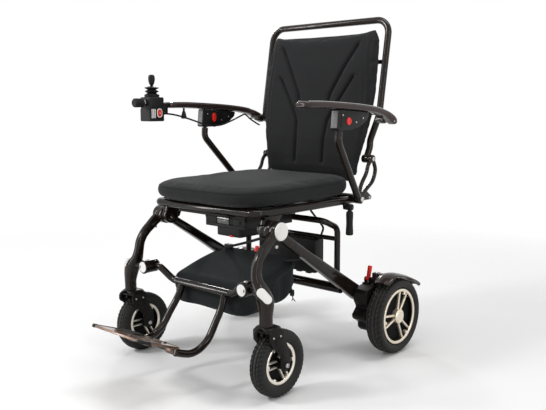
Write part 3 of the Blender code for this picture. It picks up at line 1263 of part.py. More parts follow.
def arm_strut(gloss):
    # The bent tube from the seat rail up into the latch, with an eye and a spigot.
    top = LATCH_LOW_Z - 0.0026
    points = [
        (STRUT_FOOT_X, STRUT_FOOT_Y, STRUT_FOOT_Z), (ARM_X, STRUT_TOP_Y - 0.002, LATCH_LOW_Z - 0.030),
        (ARM_X, STRUT_TOP_Y, top),
    ]
    strut = tube("arm_strut", filleted(points, [0, 0.032, 0], 4), STRUT_RADIUS, 2)
    eye = cross_pin("eye", STRUT_FOOT_Y, STRUT_FOOT_Z, STRUT_EYE_INNER_X, STRUT_EYE_OUTER_X,
                    STRUT_EYE_RADIUS, 14)
    spigot = cylinder("spigot", (ARM_X, STRUT_TOP_Y, top - 0.006), (ARM_X, STRUT_TOP_Y, top + 0.026),
                      0.0058, 10, 0.0045)
    trim = cross_pin("trim", STRUT_FOOT_Y, STRUT_FOOT_Z, STRUT_EYE_INNER_X - 0.02,
                     STRUT_EYE_INNER_X, 0.030, 12)
    strut = join(cut(strut, trim), eye, spigot)
    strut = cut(strut, cross_pin("bore", STRUT_FOOT_Y, STRUT_FOOT_Z, STRUT_EYE_INNER_X - 0.01,
                                 STRUT_EYE_OUTER_X + 0.01, ARM_PIN_RADIUS + RUNNING, BORE_SIDES))
    pair(strut, gloss, (STRUT_FOOT_X, STRUT_FOOT_Y, STRUT_FOOT_Z))


def fold_lever(black):
    # The hanging hand grip that frees the seat for folding.
    x, y, z = FOLD_LEVER_X, FOLD_LEVER_Y, FOLD_LEVER_Z
    eye = cross_pin("fold_lever", y, z, x - FOLD_LEVER_HALF, x + FOLD_LEVER_HALF, 0.0088, 12)
    rod = cylinder("rod", (x, y, z - 0.004), (x, y, z - 0.016), 0.0055, 10)
    grip = turned(
        "grip",
        [(0.0, -0.011), (0.0080, -0.011), (0.0100, -0.016), (0.0094, -0.045), (0.0106, -0.072),
         (0.0090, -0.078), (0.0, -0.078)],
        12, "Z", (x, y, z),
    )
    lever = join(eye, rod, grip)
    lever = cut(lever, cross_pin("bore", y, z, x - 0.02, x + 0.02, HINGE_PIN_RADIUS + RUNNING,
                                 BORE_SIDES))
    finish(lever, black, (x, y, z))


# Joystick controller

def controller_case(black):
    # A small upright case with a well for the stick and a foot on the arm's tip.
    half_x, half_y = CASE_SIZE[0] / 2.0, CASE_SIZE[1] / 2.0
    low = (CASE_X - half_x, CASE_Y - half_y, CASE_LOW_Z)
    high = (CASE_X + half_x, CASE_Y + half_y, CASE_TOP_Z)
    case = block("controller_case", low, high, 0.005, 1)
    foot = block("foot", (CASE_X - 0.012, CASE_REAR_Y - 0.004, 0.6685),
                 (CASE_X + 0.012, ARM_TIP_Y - FIT, 0.7010))
    well = cylinder("well", (CASE_X, CASE_Y, STICK_Z - 0.008), (CASE_X, CASE_Y, CASE_TOP_Z + 0.01),
                    0.0120, 20)
    button = cylinder("seat", (CASE_INNER_X - 0.0080, POWER_Y, POWER_Z),
                      (CASE_INNER_X + 0.01, POWER_Y, POWER_Z), POWER_RADIUS + RUNNING, BORE_SIDES)
    knob = cylinder("socket", (CASE_X, CASE_FRONT_Y - 0.01, CLAMP_Z),
                    (CASE_X, CASE_FRONT_Y + 0.0110, CLAMP_Z), 0.0040 + RUNNING, BORE_SIDES)
    finish(cut(join(case, foot), well, button, knob), black, (CASE_X, ARM_PIVOT_Y, ARM_PIVOT_Z))


def clamp_knob(black):
    # The ridged hand knob in front of the case, on its own screw.
    x, y, z = CASE_X, CASE_FRONT_Y - FIT, CLAMP_Z
    knob = turned(
        "clamp_knob",
        [(0.0, 0.0108), (0.0040, 0.0108), (0.0040, 0.0), (0.0095, 0.0), (0.0095, -0.006),
         (0.0120, -0.008), (0.0125, -0.034), (0.0105, -0.037), (0.0, -0.037)],
        12, "Y", (x, y, z),
    )
    finish(knob, black, (x, y, z))


def joystick(black, steel):
    # A cross shaft, the stick with its knob and a ribbed boot over both.
    x, y, z = CASE_X, CASE_Y, STICK_Z
    shaft = cross_pin("joystick_gimbal", y, z, x - 0.0112, x + 0.0112, 0.0030, 8)
    work = bmesh.new()
    bmesh.ops.create_uvsphere(work, u_segments=8, v_segments=6, radius=STICK_BALL)
    bmesh.ops.translate(work, vec=(x, y, z), verts=work.verts)
    ball = add_object("ball", mesh_from_bmesh("ball", work))
    finish(join(shaft, ball), steel, (x, y, z))
    top = KNOB_TOP_Z - z
    stick = turned(
        "joystick_knob",
        [(0.0, top), (0.0055, top - 0.0015), (0.0088, top - 0.008), (0.0094, top - 0.016),
         (0.0070, top - 0.025), (0.0040, top - 0.029), (0.0033, top - 0.033),
         (0.0033, STICK_BALL + FIT), (0.0, STICK_BALL + FIT)],
        12, "Z", (x, y, z),
    )
    finish(stick, black, (x, y, z))
    base = CASE_TOP_Z + FIT
    boot = turned(
        "joystick_boot",
        [(0.0056, base + 0.030), (0.0205, base + 0.0250), (0.0125, base + 0.0205),
         (0.0190, base + 0.0155), (0.0125, base + 0.0110), (0.0205, base + 0.0060),
         (0.0200, base), (0.0160, base), (0.0165, base + 0.0058), (0.0095, base + 0.0110),
         (0.0155, base + 0.0155), (0.0095, base + 0.0205), (0.0150, base + 0.0235),
         (0.0050, base + 0.0275)],
        10, "Z", (x, y, 0.0), closed=True,
    )
    finish(boot, black, (x, y, z))


def power_button(red):
    # The round power button on the case's inner face.
    x = CASE_INNER_X
    button = turned(
        "power_button",
        [(0.0, x + 0.0022), (POWER_RADIUS - 0.0015, x + 0.0022), (POWER_RADIUS, x + 0.0010),
         (POWER_RADIUS, x - 0.0055), (0.0, x - 0.0055)],
        14, "X", (0.0, POWER_Y, POWER_Z),
    )
    finish(button, red, (x, POWER_Y, POWER_Z))


def controller_cable(black):
    # From the case under the arm, round the strut and along the latch.
    x = -(ARM_X - LATCH_THICKNESS / 2.0 - CABLE_RADIUS - 0.0005)
    route = [
        (x, CASE_REAR_Y + FIT, 0.672), (x, CASE_REAR_Y + 0.014, 0.6708), (x, 0.110, 0.6680),
        (x, 0.140, 0.6620), (x, 0.175, 0.6530), (x, 0.210, 0.6430), (x, STRUT_TOP_Y - 0.006, 0.6355),
        (x, 0.268, 0.6335), (x, 0.300, 0.6360), (x, 0.330, 0.6440), (x, 0.360, 0.6540),
        (x, 0.388, 0.6640),
    ]
    finish(tube("controller_cable", smooth_route(route, 2), CABLE_RADIUS, 1), black,
           (CASE_X, ARM_PIVOT_Y, ARM_PIVOT_Z))
    loop = [
        (x, 0.388 + 2.0 * FIT, 0.6643), (x, 0.401, 0.6660), (x + 0.0050, 0.418, 0.6520),
        (x + 0.0130, 0.431, 0.6415), (x + 0.0160, 0.441, 0.6355), (x + 0.0162, 0.4495, 0.6325),
    ]
    finish(tube("arm_cable_loop", smooth_route(loop, 2), CABLE_RADIUS, 1), black)


def seat_loom(black):
    # The cable that bows from the tray down to the control box.
    top = MID_BAR_Z - MID_BAR_RADIUS - FIT
    x = CONTROL_BOX_SIZE[0] / 2.0 - 0.016
    route = [
        (x - 0.010, 0.330, TRAY_LOW_Z - FIT), (x - 0.009, 0.331, TRAY_LOW_Z - 0.012),
        (x, 0.344, TRAY_LOW_Z - 0.034), (x + 0.012, 0.362, TRAY_LOW_Z - 0.062),
        (x + 0.012, 0.366, top + 0.024), (x + 0.009, HOOP_Y + 0.0155, top + 0.010),
        (x + 0.009, HOOP_Y + 0.0150, top + 2.0 * FIT),
    ]
    finish(tube("seat_loom", smooth_route(route, 2), 0.0030, 1), black)


def build():
    gloss = material("gloss_black_paint", (0.020, 0.016, 0.014), 0.22, 0.35)
    black = material("satin_black_plastic", (0.018, 0.018, 0.019), 0.45)
    rubber = material("tyre_rubber", (0.022, 0.022, 0.022), 0.80)
    alloy = material("champagne_alloy", (0.78, 0.71, 0.62), 0.28, 0.85)
    cream = material("cream_cap", (0.86, 0.85, 0.82), 0.35, 0.10)
    seat_cloth = material("charcoal_cloth", (0.045, 0.048, 0.048), 0.90)
    bag_cloth = material("bag_cloth", (0.014, 0.017, 0.018), 0.80)
    red = material("red_plastic", (0.80, 0.03, 0.02), 0.40)
    steel = material("plated_steel", (0.55, 0.55, 0.56), 0.30, 0.95)
    plate_skin = material("bronze_plate", (0.10, 0.07, 0.055), 0.30, 0.55)
    rear_beam(gloss)
    rear_hoop(gloss)
    control_box(black)
    motor_bracket(black)
    rear_wheels(rubber, alloy, black)
    mudguard(gloss)
    freewheel_lever(red)
    storage_bag(bag_cloth)
    leg_shape = front_leg(gloss)
    pivot_cap(cream)
    footrest_bracket(black, leg_shape)
    caster_fork(black)
    front_wheels(rubber, alloy)
    footrest_frame(gloss)
    footplate(plate_skin)
    seat_frame(gloss)
    seat_cushion(seat_cloth)
    battery_tray(black)
    battery(black)
    back_bracket(gloss)
    back_frame(gloss)
    back_cushion(seat_cloth)
    arm_hinge(steel)
    armrest(gloss)
    arm_latch(black)
    release_button(red)
    arm_strut(gloss)
    fold_lever(black)
    controller_case(black)
    clamp_knob(black)
    joystick(black, steel)
    power_button(red)
    controller_cable(black)
    seat_loom(black)


clear_scene()
PARTS = make_collection()
CHAIR = bpy.data.objects.new("chair_origin", None)
PARTS.objects.link(CHAIR)
CHAIR.location = (0.0, -CENTRE_Y, 0.0)
build()
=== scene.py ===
# Look of a folding power wheelchair: smooth frame tubes, tread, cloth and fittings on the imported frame.
import math

import bmesh
import bpy
import numpy as np
from mathutils import Matrix, Vector


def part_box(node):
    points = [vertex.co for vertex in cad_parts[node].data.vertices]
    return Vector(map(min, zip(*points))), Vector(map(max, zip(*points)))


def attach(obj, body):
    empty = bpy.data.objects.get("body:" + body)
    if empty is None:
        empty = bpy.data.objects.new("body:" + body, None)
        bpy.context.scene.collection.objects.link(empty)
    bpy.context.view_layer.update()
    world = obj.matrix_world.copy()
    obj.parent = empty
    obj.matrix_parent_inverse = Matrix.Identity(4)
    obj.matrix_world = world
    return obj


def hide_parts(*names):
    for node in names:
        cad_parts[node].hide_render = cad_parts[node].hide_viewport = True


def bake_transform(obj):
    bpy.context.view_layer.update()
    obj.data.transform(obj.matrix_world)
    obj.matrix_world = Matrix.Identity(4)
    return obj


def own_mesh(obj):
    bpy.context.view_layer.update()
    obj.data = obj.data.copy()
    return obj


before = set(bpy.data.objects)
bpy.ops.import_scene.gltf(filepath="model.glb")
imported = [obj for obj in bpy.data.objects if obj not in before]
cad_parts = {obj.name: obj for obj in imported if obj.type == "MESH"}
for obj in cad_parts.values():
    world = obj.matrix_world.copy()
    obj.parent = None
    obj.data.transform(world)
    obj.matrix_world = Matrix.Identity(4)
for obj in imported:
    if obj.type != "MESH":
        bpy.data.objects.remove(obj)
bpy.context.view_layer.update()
fullTurn = 2 * math.pi
acrossX = np.array((1.0, 0.0, 0.0))
alongY = np.array((0.0, 1.0, 0.0))
upZ = np.array((0.0, 0.0, 1.0))

# Shapes are worked out with Y counted from the front axle; this moves them to where the frame has it
axleLow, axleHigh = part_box("caster_rim_left")
axleY = (axleLow.y + axleHigh.y) / 2

# The gap between two pieces that touch
fit = 0.0003

# Sizes and places that several pieces share
chair = {
    "wheelBase": 0.458, "pivotY": 0.045, "pivotZ": 0.3915, "frontX": 0.2595, "frontR": 0.0825,
    "rearX": 0.288, "rearR": 0.106, "railX": 0.188, "railZ": 0.433, "railR": 0.0108,
    "hingeY": 0.463, "hingeZ": 0.543, "armX": 0.252, "armPivotY": 0.478, "armPivotZ": 0.655,
    "beamX": 0.212, "tubeR": 0.0095, "drumFace": 0.2923, "stemY": -0.0395,
    "footBarY": -0.014, "footBarZ": 0.257, "hoopY": 0.347, "boxBarZ": 0.325, "boxBarR": 0.0065,
    "freewheel": (0.2215, 0.428, 0.206), "foldLever": (0.2055, 0.3575, 0.4165),
    "strutFoot": (0.2195, 0.378, 0.438), "strutTopY": 0.243, "latchLow": 0.6305,
    "latchInner": 0.240, "latchOuter": 0.264, "backTop": 0.9325, "batteryTop": 0.4156,
    "padBase": 0.516, "padTall": 0.383, "padThick": 0.0165,
}


# Numbers along lines

def unit(v):
    v = np.asarray(v, float)
    return v / np.maximum(np.linalg.norm(v, axis=-1, keepdims=True), 1e-12)


def eased(x, low, high):
    t = np.clip((x - low) / (high - low), 0, 1)
    return t * t * (3 - 2 * t)


# One smooth hump of height 1
def hill(x, middle, width):
    return np.exp(-((x - middle) / width) ** 2)


# Catmull-Rom: every span is the cubic through its two ends with slopes from their neighbours
def smoothRoute(points, perSpan=8):
    p = np.asarray(points, float)
    p = np.vstack([2 * p[0] - p[1], p, 2 * p[-1] - p[-2]])
    a, b, c, d = p[:-3], p[1:-2], p[2:-1], p[3:]
    t = (np.arange(perSpan) / perSpan)[:, None, None]
    spans = 0.5 * (2 * b + (c - a) * t + (2 * a - 5 * b + 4 * c - d) * t ** 2
                   + (3 * b - a - 3 * c + d) * t ** 3)
    return np.vstack([spans.transpose(1, 0, 2).reshape(-1, p.shape[1]), p[-2]])


# Straight runs with each corner turned into an arc that touches both of them; an arc takes less
# than half of its shorter run
def bentRoute(points, radii, steps=8, closed=False):
    points = [Vector(tuple(p)) for p in points]
    radii = list(radii) if isinstance(radii, (list, tuple)) else [radii] * len(points)
    route = []
    for i, corner in enumerate(points):
        back, on = points[i - 1] - corner, points[(i + 1) % len(points)] - corner
        atEnd = not closed and i in (0, len(points) - 1)
        shorter = min(back.length, on.length)
        if radii[i] <= 0 or atEnd or shorter < 1e-6 or back.angle(on) > 3.12:
            route.append(corner)
            continue
        half = back.angle(on) / 2
        back, on = back.normalized(), on.normalized()
        reach = min(radii[i] / math.tan(half), 0.49 * shorter)
        middle = corner + (back + on).normalized() * (reach / math.cos(half))
        first, last = corner + back * reach - middle, corner + on * reach - middle
        sweepAngle = max(first.angle(last), 1e-4)
        for k in range(steps + 1):
            s = k / steps
            turn = first * math.sin((1 - s) * sweepAngle) + last * math.sin(s * sweepAngle)
            route.append(middle + turn / math.sin(sweepAngle))
    return np.array([tuple(p) for p in route])


# Surfaces: each shape is (points, faces), and a piece is made of one or more shapes

def gridFaces(rows, columns, wrapRows=False, wrapColumns=True):
    i = np.arange(rows if wrapRows else rows - 1)[:, None]
    j = np.arange(columns if wrapColumns else columns - 1)[None, :]
    ahead, aside = (i + 1) % rows, (j + 1) % columns
    quads = np.stack([i * columns + j, ahead * columns + j,
                      ahead * columns + aside, i * columns + aside], -1)
    return quads.reshape(-1, 4).tolist()


# Rings of equally many points skinned in order, with a flat face over each end
def skin(rings, closed=False):
    rings = np.asarray(rings, float)
    rows, columns = rings.shape[:2]
    faces = gridFaces(rows, columns, wrapRows=closed)
    if not closed:
        faces.append(list(range(columns))[::-1])
        faces.append([(rows - 1) * columns + j for j in range(columns)])
    return rings.reshape(-1, 3), faces


# Superellipse: cosine and sine raised to 2/power, so 2 is round and more is squarer
def roundSection(power=2.0, count=28):
    angle = fullTurn * (np.arange(count) + 0.5) / count
    c, s = np.cos(angle), np.sin(angle)
    p = 2 / np.reshape(np.asarray(power, float), (-1, 1))
    return np.sign(c) * np.abs(c) ** p, np.sign(s) * np.abs(s) ** p


# A section carried along a path: centre + side * half width * cos + up * half height * sin.
# A rim closes the ends in on a quarter circle, so a cut tube has a soft edge.
def sweep(path, halfWide, halfTall=None, facing=upZ, power=2.0, count=28, closed=False, rim=0.0):
    path = np.asarray(path, float)
    rows = len(path)
    ahead = np.roll(path, -1, 0) - np.roll(path, 1, 0) if closed else np.gradient(path, axis=0)
    ahead = unit(ahead)
    side = unit(np.cross(ahead, facing))
    up = np.cross(side, ahead)
    wide = np.broadcast_to(halfWide, rows).astype(float)
    tall = wide if halfTall is None else np.broadcast_to(halfTall, rows).astype(float)
    power = np.broadcast_to(power, rows).astype(float)
    if rim and not closed:
        angle = np.linspace(0, np.pi / 2, 4)
        shrink, into = rim * (1 - np.sin(angle)), (rim * (1 - np.cos(angle)))[:, None]
        pad = ((3, 3), (0, 0))
        wide = np.concatenate([wide[0] - shrink, wide[1:-1], (wide[-1] - shrink)[::-1]])
        tall = np.concatenate([tall[0] - shrink, tall[1:-1], (tall[-1] - shrink)[::-1]])
        power = np.pad(power, 3, "edge")
        path = np.vstack([path[0] + ahead[0] * into, path[1:-1], (path[-1] - ahead[-1] * into)[::-1]])
        side, up = np.pad(side, pad, "edge"), np.pad(up, pad, "edge")
    a, b = roundSection(power, count)
    rings = (path[:, None] + side[:, None] * (wide[:, None] * a)[..., None]
             + up[:, None] * (tall[:, None] * b)[..., None])
    return skin(rings, closed)


# A profile of (radius, height) turned round an axis: (height, radius cos, radius sin).
# The ripple is a share of the radius that may change with the angle, as on a fluted knob.
def lathe(profile, centre=(0, 0, 0), axis="x", count=48, closed=False, ripple=None):
    profile = np.asarray(profile, float)
    angle = (fullTurn * np.arange(count) / count)[:, None]
    radius, height = profile[:, 0][None, :], profile[:, 1][None, :]
    radius = radius * (1 if ripple is None else ripple(angle, height))
    c, s, h = radius * np.cos(angle), radius * np.sin(angle), height + 0 * angle
    order = {"x": (h, c, s), "y": (s, h, c), "z": (c, s, h)}[axis]
    points = np.stack(order, -1) + np.asarray(centre, float)
    faces = gridFaces(count, len(profile), wrapRows=True, wrapColumns=closed)
    return points.reshape(-1, 3), faces


# Rounds a profile's corners with small arcs, for pressed and turned parts
def softProfile(profile, radius, steps=3):
    flat = [(r, h, 0.0) for r, h in profile]
    gaps = [0] + [radius if np.ndim(radius) == 0 else radius[i] for i in range(1, len(flat) - 1)] + [0]
    return bentRoute(flat, gaps, steps)[:, :2]


# A profile with rounded corners, turned round an axis
def turned(profile, radius, centre=(0, 0, 0), axis="x", count=48, closed=False):
    return lathe(softProfile(profile, radius), centre, axis, count, closed)


# A rectangle with round corners, as arrays of its two coordinates
def softRectangle(halfA, halfB, corner, steps=5):
    angle = (np.arange(4)[:, None] + np.linspace(0, 1, steps + 1)[None, :]) * np.pi / 2
    a = np.array((1, -1, -1, 1))[:, None] * (halfA - corner) + corner * np.cos(angle)
    b = np.array((1, 1, -1, -1))[:, None] * (halfB - corner) + corner * np.sin(angle)
    return np.stack([a.ravel(), b.ravel()], -1)


def laid(flat, level, axis):
    a, b = flat[:, 0], flat[:, 1]
    level = np.full_like(a, level)
    return np.stack({"x": (level, a, b), "y": (a, level, b), "z": (a, b, level)}[axis], -1)


# A box whose edges are quarter circles: level outlines, each drawn in by edge * (1 - sin)
def block(low, high, edge, corner=None, axis="z"):
    low, high = np.minimum(low, high), np.maximum(low, high)
    corner = max(corner or edge, edge)
    others = {"x": (1, 2), "y": (0, 2), "z": (0, 1)}[axis]
    along = {"x": 0, "y": 1, "z": 2}[axis]
    middle, half = (low + high) / 2, (high - low) / 2
    rings, steps = [], 4
    angle = np.linspace(0, np.pi / 2, steps + 1)
    for turn, sign in [(t, -1) for t in angle] + [(t, 1) for t in angle[::-1]]:
        inset = edge * (1 - math.sin(turn))
        level = sign * (half[along] - edge * (1 - math.cos(turn)))
        flat = softRectangle(half[others[0]] - inset, half[others[1]] - inset, corner - inset, steps)
        rings.append(laid(flat, level, axis) + middle)
    return skin(rings)


# A flat outline in (y, z) drawn in by a distance along the bisector of its edges
def drawnIn(outline, distance):
    on = unit(np.roll(outline, -1, 0) - outline)
    back = unit(outline - np.roll(outline, 1, 0))
    turn = np.sum(outline[:, 0] * np.roll(outline[:, 1], -1) - np.roll(outline[:, 0], -1) * outline[:, 1])
    side = math.copysign(1.0, turn)
    normalOn = side * np.stack([-on[:, 1], on[:, 0]], -1)
    normalBack = side * np.stack([-back[:, 1], back[:, 0]], -1)
    bisector = unit(normalOn + normalBack)
    reach = distance / np.maximum(np.sum(bisector * normalOn, -1, keepdims=True), 0.35)
    return outline + bisector * reach


# A plate between two levels with its corners rounded and its rims on a quarter circle
def slab(outline, low, high, edge=0.001, corner=0.0, axis="x"):
    flat = np.array([(a, b) for a, b in outline], float)
    if corner:
        flat = bentRoute([(a, b, 0.0) for a, b in flat], corner, 5, closed=True)[:, :2]
    low, high = min(low, high), max(low, high)
    angle = np.linspace(0, np.pi / 2, 4)
    rings = []
    for turn, side in [(t, 0) for t in angle] + [(t, 1) for t in angle[::-1]]:
        inset, into = edge * (1 - math.sin(turn)), edge * (1 - math.cos(turn))
        level = low + into if side == 0 else high - into
        rings.append(laid(drawnIn(flat, inset), level, axis))
    return skin(rings)


def mirrored(shape):
    points, faces = shape
    return points * np.array((-1.0, 1.0, 1.0)), faces


def spanX(y, z, xLow, xHigh, radius, rim=0.0008, count=32):
    return sweep([(xLow, y, z), ((xLow + xHigh) / 2, y, z), (xHigh, y, z)], radius,
                 rim=min(rim, radius / 3), count=count)


# A bored eye on a cross axis, between two levels along X
def eyeRing(radii, low, high, corner, y, z, count=64):
    bore, outer = radii
    return turned([(bore, low), (outer, low), (outer, high), (bore, high)], corner, (0, y, z), "x", count)


# A hexagon-socket bolt head whose face points along an axis
def boltHead(centre, axis="x", radius=0.0045, height=0.003, sign=1):
    r, h = radius, height * sign
    profile = [(0, -0.2 * h), (r, -0.2 * h), (r, 0.7 * h), (0.86 * r, h), (0.5 * r, h),
               (0.42 * r, 0.35 * h), (0, 0.3 * h)]
    return lathe(profile, centre, axis, 24)


# Joins shapes into one object, points its faces outward, gives it its finish and its body
def piece(name, shapes, finish, body, replaces=(), smooth=38):
    points, faces, start = [], [], 0
    for spots, polygons in shapes:
        points.append(spots)
        faces += [[start + k for k in polygon] for polygon in polygons]
        start += len(spots)
    points = np.vstack(points) + alongY * axleY
    mesh = bpy.data.meshes.new(name)
    mesh.from_pydata(points.tolist(), [], faces)
    work = bmesh.new()
    work.from_mesh(mesh)
    bmesh.ops.remove_doubles(work, verts=work.verts, dist=0.000004)
    bmesh.ops.recalc_face_normals(work, faces=work.faces)
    work.to_mesh(mesh)
    work.free()
    mesh.shade_smooth()
    mesh.set_sharp_from_angle(angle=math.radians(smooth))
    mesh.materials.append(finish)
    item = bpy.data.objects.new(name, mesh)
    bpy.context.scene.collection.objects.link(item)
    if body:
        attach(item, body)
    if replaces:
        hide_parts(*replaces)
    return item


# A piece and its mirror image; a body whose name ends in _ takes the side's name too
def pairOf(name, shapes, finish, body, replaces=""):
    for side in ("left", "right"):
        ownShapes = shapes if side == "left" else [mirrored(s) for s in shapes]
        ownBody = body + side if body.endswith("_") else body
        nodes = [replaces + "_" + side] if replaces else ()
        piece(name + side.capitalize(), ownShapes, finish, ownBody, nodes)


# Finishes

# A socket in a Python sum: each operator adds its Math node
class Wire:
    def __init__(self, owner, socket):
        self.owner, self.socket = owner, socket

    def mathNode(self, operation, first, second):
        return self.owner.node("ShaderNodeMath", {"operation": operation}, {0: first, 1: second})

    def __add__(self, other):
        return self.mathNode("ADD", self, other)

    def __mul__(self, other):
        return self.mathNode("MULTIPLY", self, other)

    def __truediv__(self, other):
        return self.mathNode("DIVIDE", self, other)

    def __pow__(self, other):
        return self.mathNode("POWER", self, other)


# The nodes of a finish or of the world
class NodeTree:
    def __init__(self, owner):
        owner.use_nodes = True
        self.tree = owner.node_tree

    # Every node comes from here: its kind, then its settings, then its sockets
    def node(self, kind, settings=None, sockets=None, output=0):
        step = self.tree.nodes.new(kind)
        for key, value in (settings or {}).items():
            if key == "stops":
                while len(step.color_ramp.elements) < len(value):
                    step.color_ramp.elements.new(1.0)
                for element, (place, shade) in zip(step.color_ramp.elements, value):
                    element.position, element.color = place, (shade, shade, shade, 1)
            else:
                setattr(step, key, value)
        self.fill(step, sockets or {})
        return Wire(self, step.outputs[output])

    def fill(self, step, sockets):
        for key, value in sockets.items():
            if isinstance(value, Wire):
                self.tree.links.new(value.socket, step.inputs[key])
            else:
                step.inputs[key].default_value = value


class Finish(NodeTree):
    def __init__(self, name):
        self.material = bpy.data.materials.new(name)
        super().__init__(self.material)
        self.shader = self.tree.nodes["Principled BSDF"]
        self.spot = self.node("ShaderNodeTexCoord", output="Object")

    def centred(self, place, stretch=(1, 1, 1)):
        return self.node("ShaderNodeMapping", {"vector_type": "TEXTURE"},
                         {"Vector": self.spot, "Location": place, "Scale": stretch})

    def noise(self, scale, detail=2.0, rough=0.5, where=None):
        return self.node("ShaderNodeTexNoise", None, {"Vector": where or self.spot, "Scale": scale,
                                                       "Detail": detail, "Roughness": rough})

    def stops(self, value, *pairs):
        return self.node("ShaderNodeValToRGB", {"stops": pairs}, {0: value})

    def sine(self, value):
        return self.node("ShaderNodeMath", {"operation": "SINE"}, {0: value})

    def parts(self, vector):
        step = self.node("ShaderNodeSeparateXYZ", None, {0: vector}).socket.node
        return [Wire(self, s) for s in step.outputs]

    def blendOf(self, share, first, second):
        first = first if isinstance(first, Wire) else (*first, 1)
        second = second if isinstance(second, Wire) else (*second, 1)
        return self.node("ShaderNodeMix", {"data_type": "RGBA"},
                         {0: share, 6: first, 7: second}, output=2)

    def bump(self, height, depth, strength=1.0, under=None):
        sockets = {"Height": height, "Distance": depth, "Strength": strength}
        if under is not None:
            sockets["Normal"] = under
        return self.node("ShaderNodeBump", None, sockets)

    def done(self, **sockets):
        names = {"colour": "Base Color", "roughness": "Roughness", "metallic": "Metallic",
                 "normal": "Normal", "coat": "Coat Weight", "coatRoughness": "Coat Roughness",
                 "specular": "Specular IOR Level", "sheen": "Sheen Weight",
                 "sheenRoughness": "Sheen Roughness", "sheenTint": "Sheen Tint"}
        values = {}
        for key, value in sockets.items():
            flat = isinstance(value, tuple) and len(value) == 3
            values[names[key]] = (*value, 1) if flat else value
        self.fill(self.shader, values)
        return self.material


paint = {"colour": (0.0060, 0.0046, 0.0040), "brown": (0.0190, 0.0122, 0.0088), "roughness": 0.11,
         "metallic": 0.10, "coat": 0.10, "peel": 0.000015, "specular": 0.22}


def glossPaint(name="glossBlackPaint", options=paint):
    f = Finish(name)
    cloud = f.noise(7.0, 3.0)
    speck = f.stops(f.noise(420.0, 1.0), (0.60, 0.0), (0.72, 1.0))
    colour = f.blendOf(cloud, options["colour"], options["brown"])
    colour = f.blendOf(speck * 0.25, colour, (0.050, 0.040, 0.034))
    wear = f.stops(f.noise(38.0, 5.0, 0.65), (0.50, 0.0), (0.85, 1.0))
    peel = f.bump(f.noise(300.0, 1.0), options["peel"], 0.6)
    return f.done(colour=colour, roughness=wear * 0.16 + options["roughness"],
                  metallic=options["metallic"], coat=options["coat"], coatRoughness=0.05,
                  specular=options["specular"], normal=peel)


def satinPlastic(name, colour, roughness=0.40, grain=900.0, depth=0.00005, shine=0.22):
    f = Finish(name)
    grainy = f.noise(grain, 2.0)
    cloud = f.stops(f.noise(22.0, 4.0, 0.6), (0.35, 0.0), (0.75, 1.0))
    paler = tuple(min(1.0, c * 1.7 + 0.004) for c in colour)
    return f.done(colour=f.blendOf(cloud * 0.55, colour, paler), roughness=cloud * 0.14 + roughness,
                  specular=shine, normal=f.bump(grainy, depth, 0.7))


# Rubber with dust in it, fine moulding grain, and rings on the sidewall worked out from the
# distance to the axle
def tyreRubber(name, place, radius, ringPitch=0.0019):
    f = Finish(name)
    y, z = f.parts(f.centred(place))[1:]
    distance = (y * y + z * z) ** 0.5
    rings = f.sine(distance * (fullTurn / ringPitch))
    dust = f.stops(f.noise(30.0, 6.0, 0.7), (0.42, 0.0), (0.78, 1.0))
    colour = f.blendOf(dust * 0.5, (0.0065, 0.0062, 0.0060), (0.022, 0.019, 0.016))
    # The crown is greyer than the grooves and the sidewall: partly real wear on the crown, partly painted
    # shade in the grooves
    crownWearGrooveShade = f.stops(distance / radius, (0.975, 0.0), (0.992, 1.0))
    colour = f.blendOf(crownWearGrooveShade * (dust * 0.5 + 0.35), colour, (0.034, 0.031, 0.029))
    grain = f.bump(f.noise(700.0, 2.0), 0.00012, 0.6)
    return f.done(colour=colour, roughness=dust * 0.15 + 0.52, specular=0.28,
                  normal=f.bump(rings, 0.00012, 0.35, grain))


# Cast alloy under clear lacquer: turning marks round the axle and a cloudy warmth
def castAlloy(name, place, colour, metallic=0.75):
    f = Finish(name)
    y, z = f.parts(f.centred(place))[1:]
    distance = (y * y + z * z) ** 0.5
    latheMarks = f.sine(distance * (fullTurn / 0.0009))
    cloud = f.noise(45.0, 4.0, 0.6)
    warm = tuple(c * k for c, k in zip(colour, (0.86, 0.80, 0.72)))
    grain = f.bump(f.noise(260.0, 3.0), 0.00004, 0.7)
    return f.done(colour=f.blendOf(cloud, colour, warm), metallic=metallic,
                  roughness=cloud * 0.18 + 0.24, coat=0.25, coatRoughness=0.10,
                  normal=f.bump(latheMarks, 0.00001, 0.35, grain))


def brushedMetal(name, colour, roughness=0.26):
    f = Finish(name)
    streaks = f.noise(1.0, 3.0, 0.6, f.centred((0, 0, 0), stretch=(1 / 40, 1 / 900, 1 / 900)))
    dull = tuple(c * 0.72 for c in colour)
    return f.done(colour=f.blendOf(streaks, colour, dull), metallic=0.95,
                  roughness=streaks * 0.22 + roughness, normal=f.bump(streaks, 0.00002, 0.5))


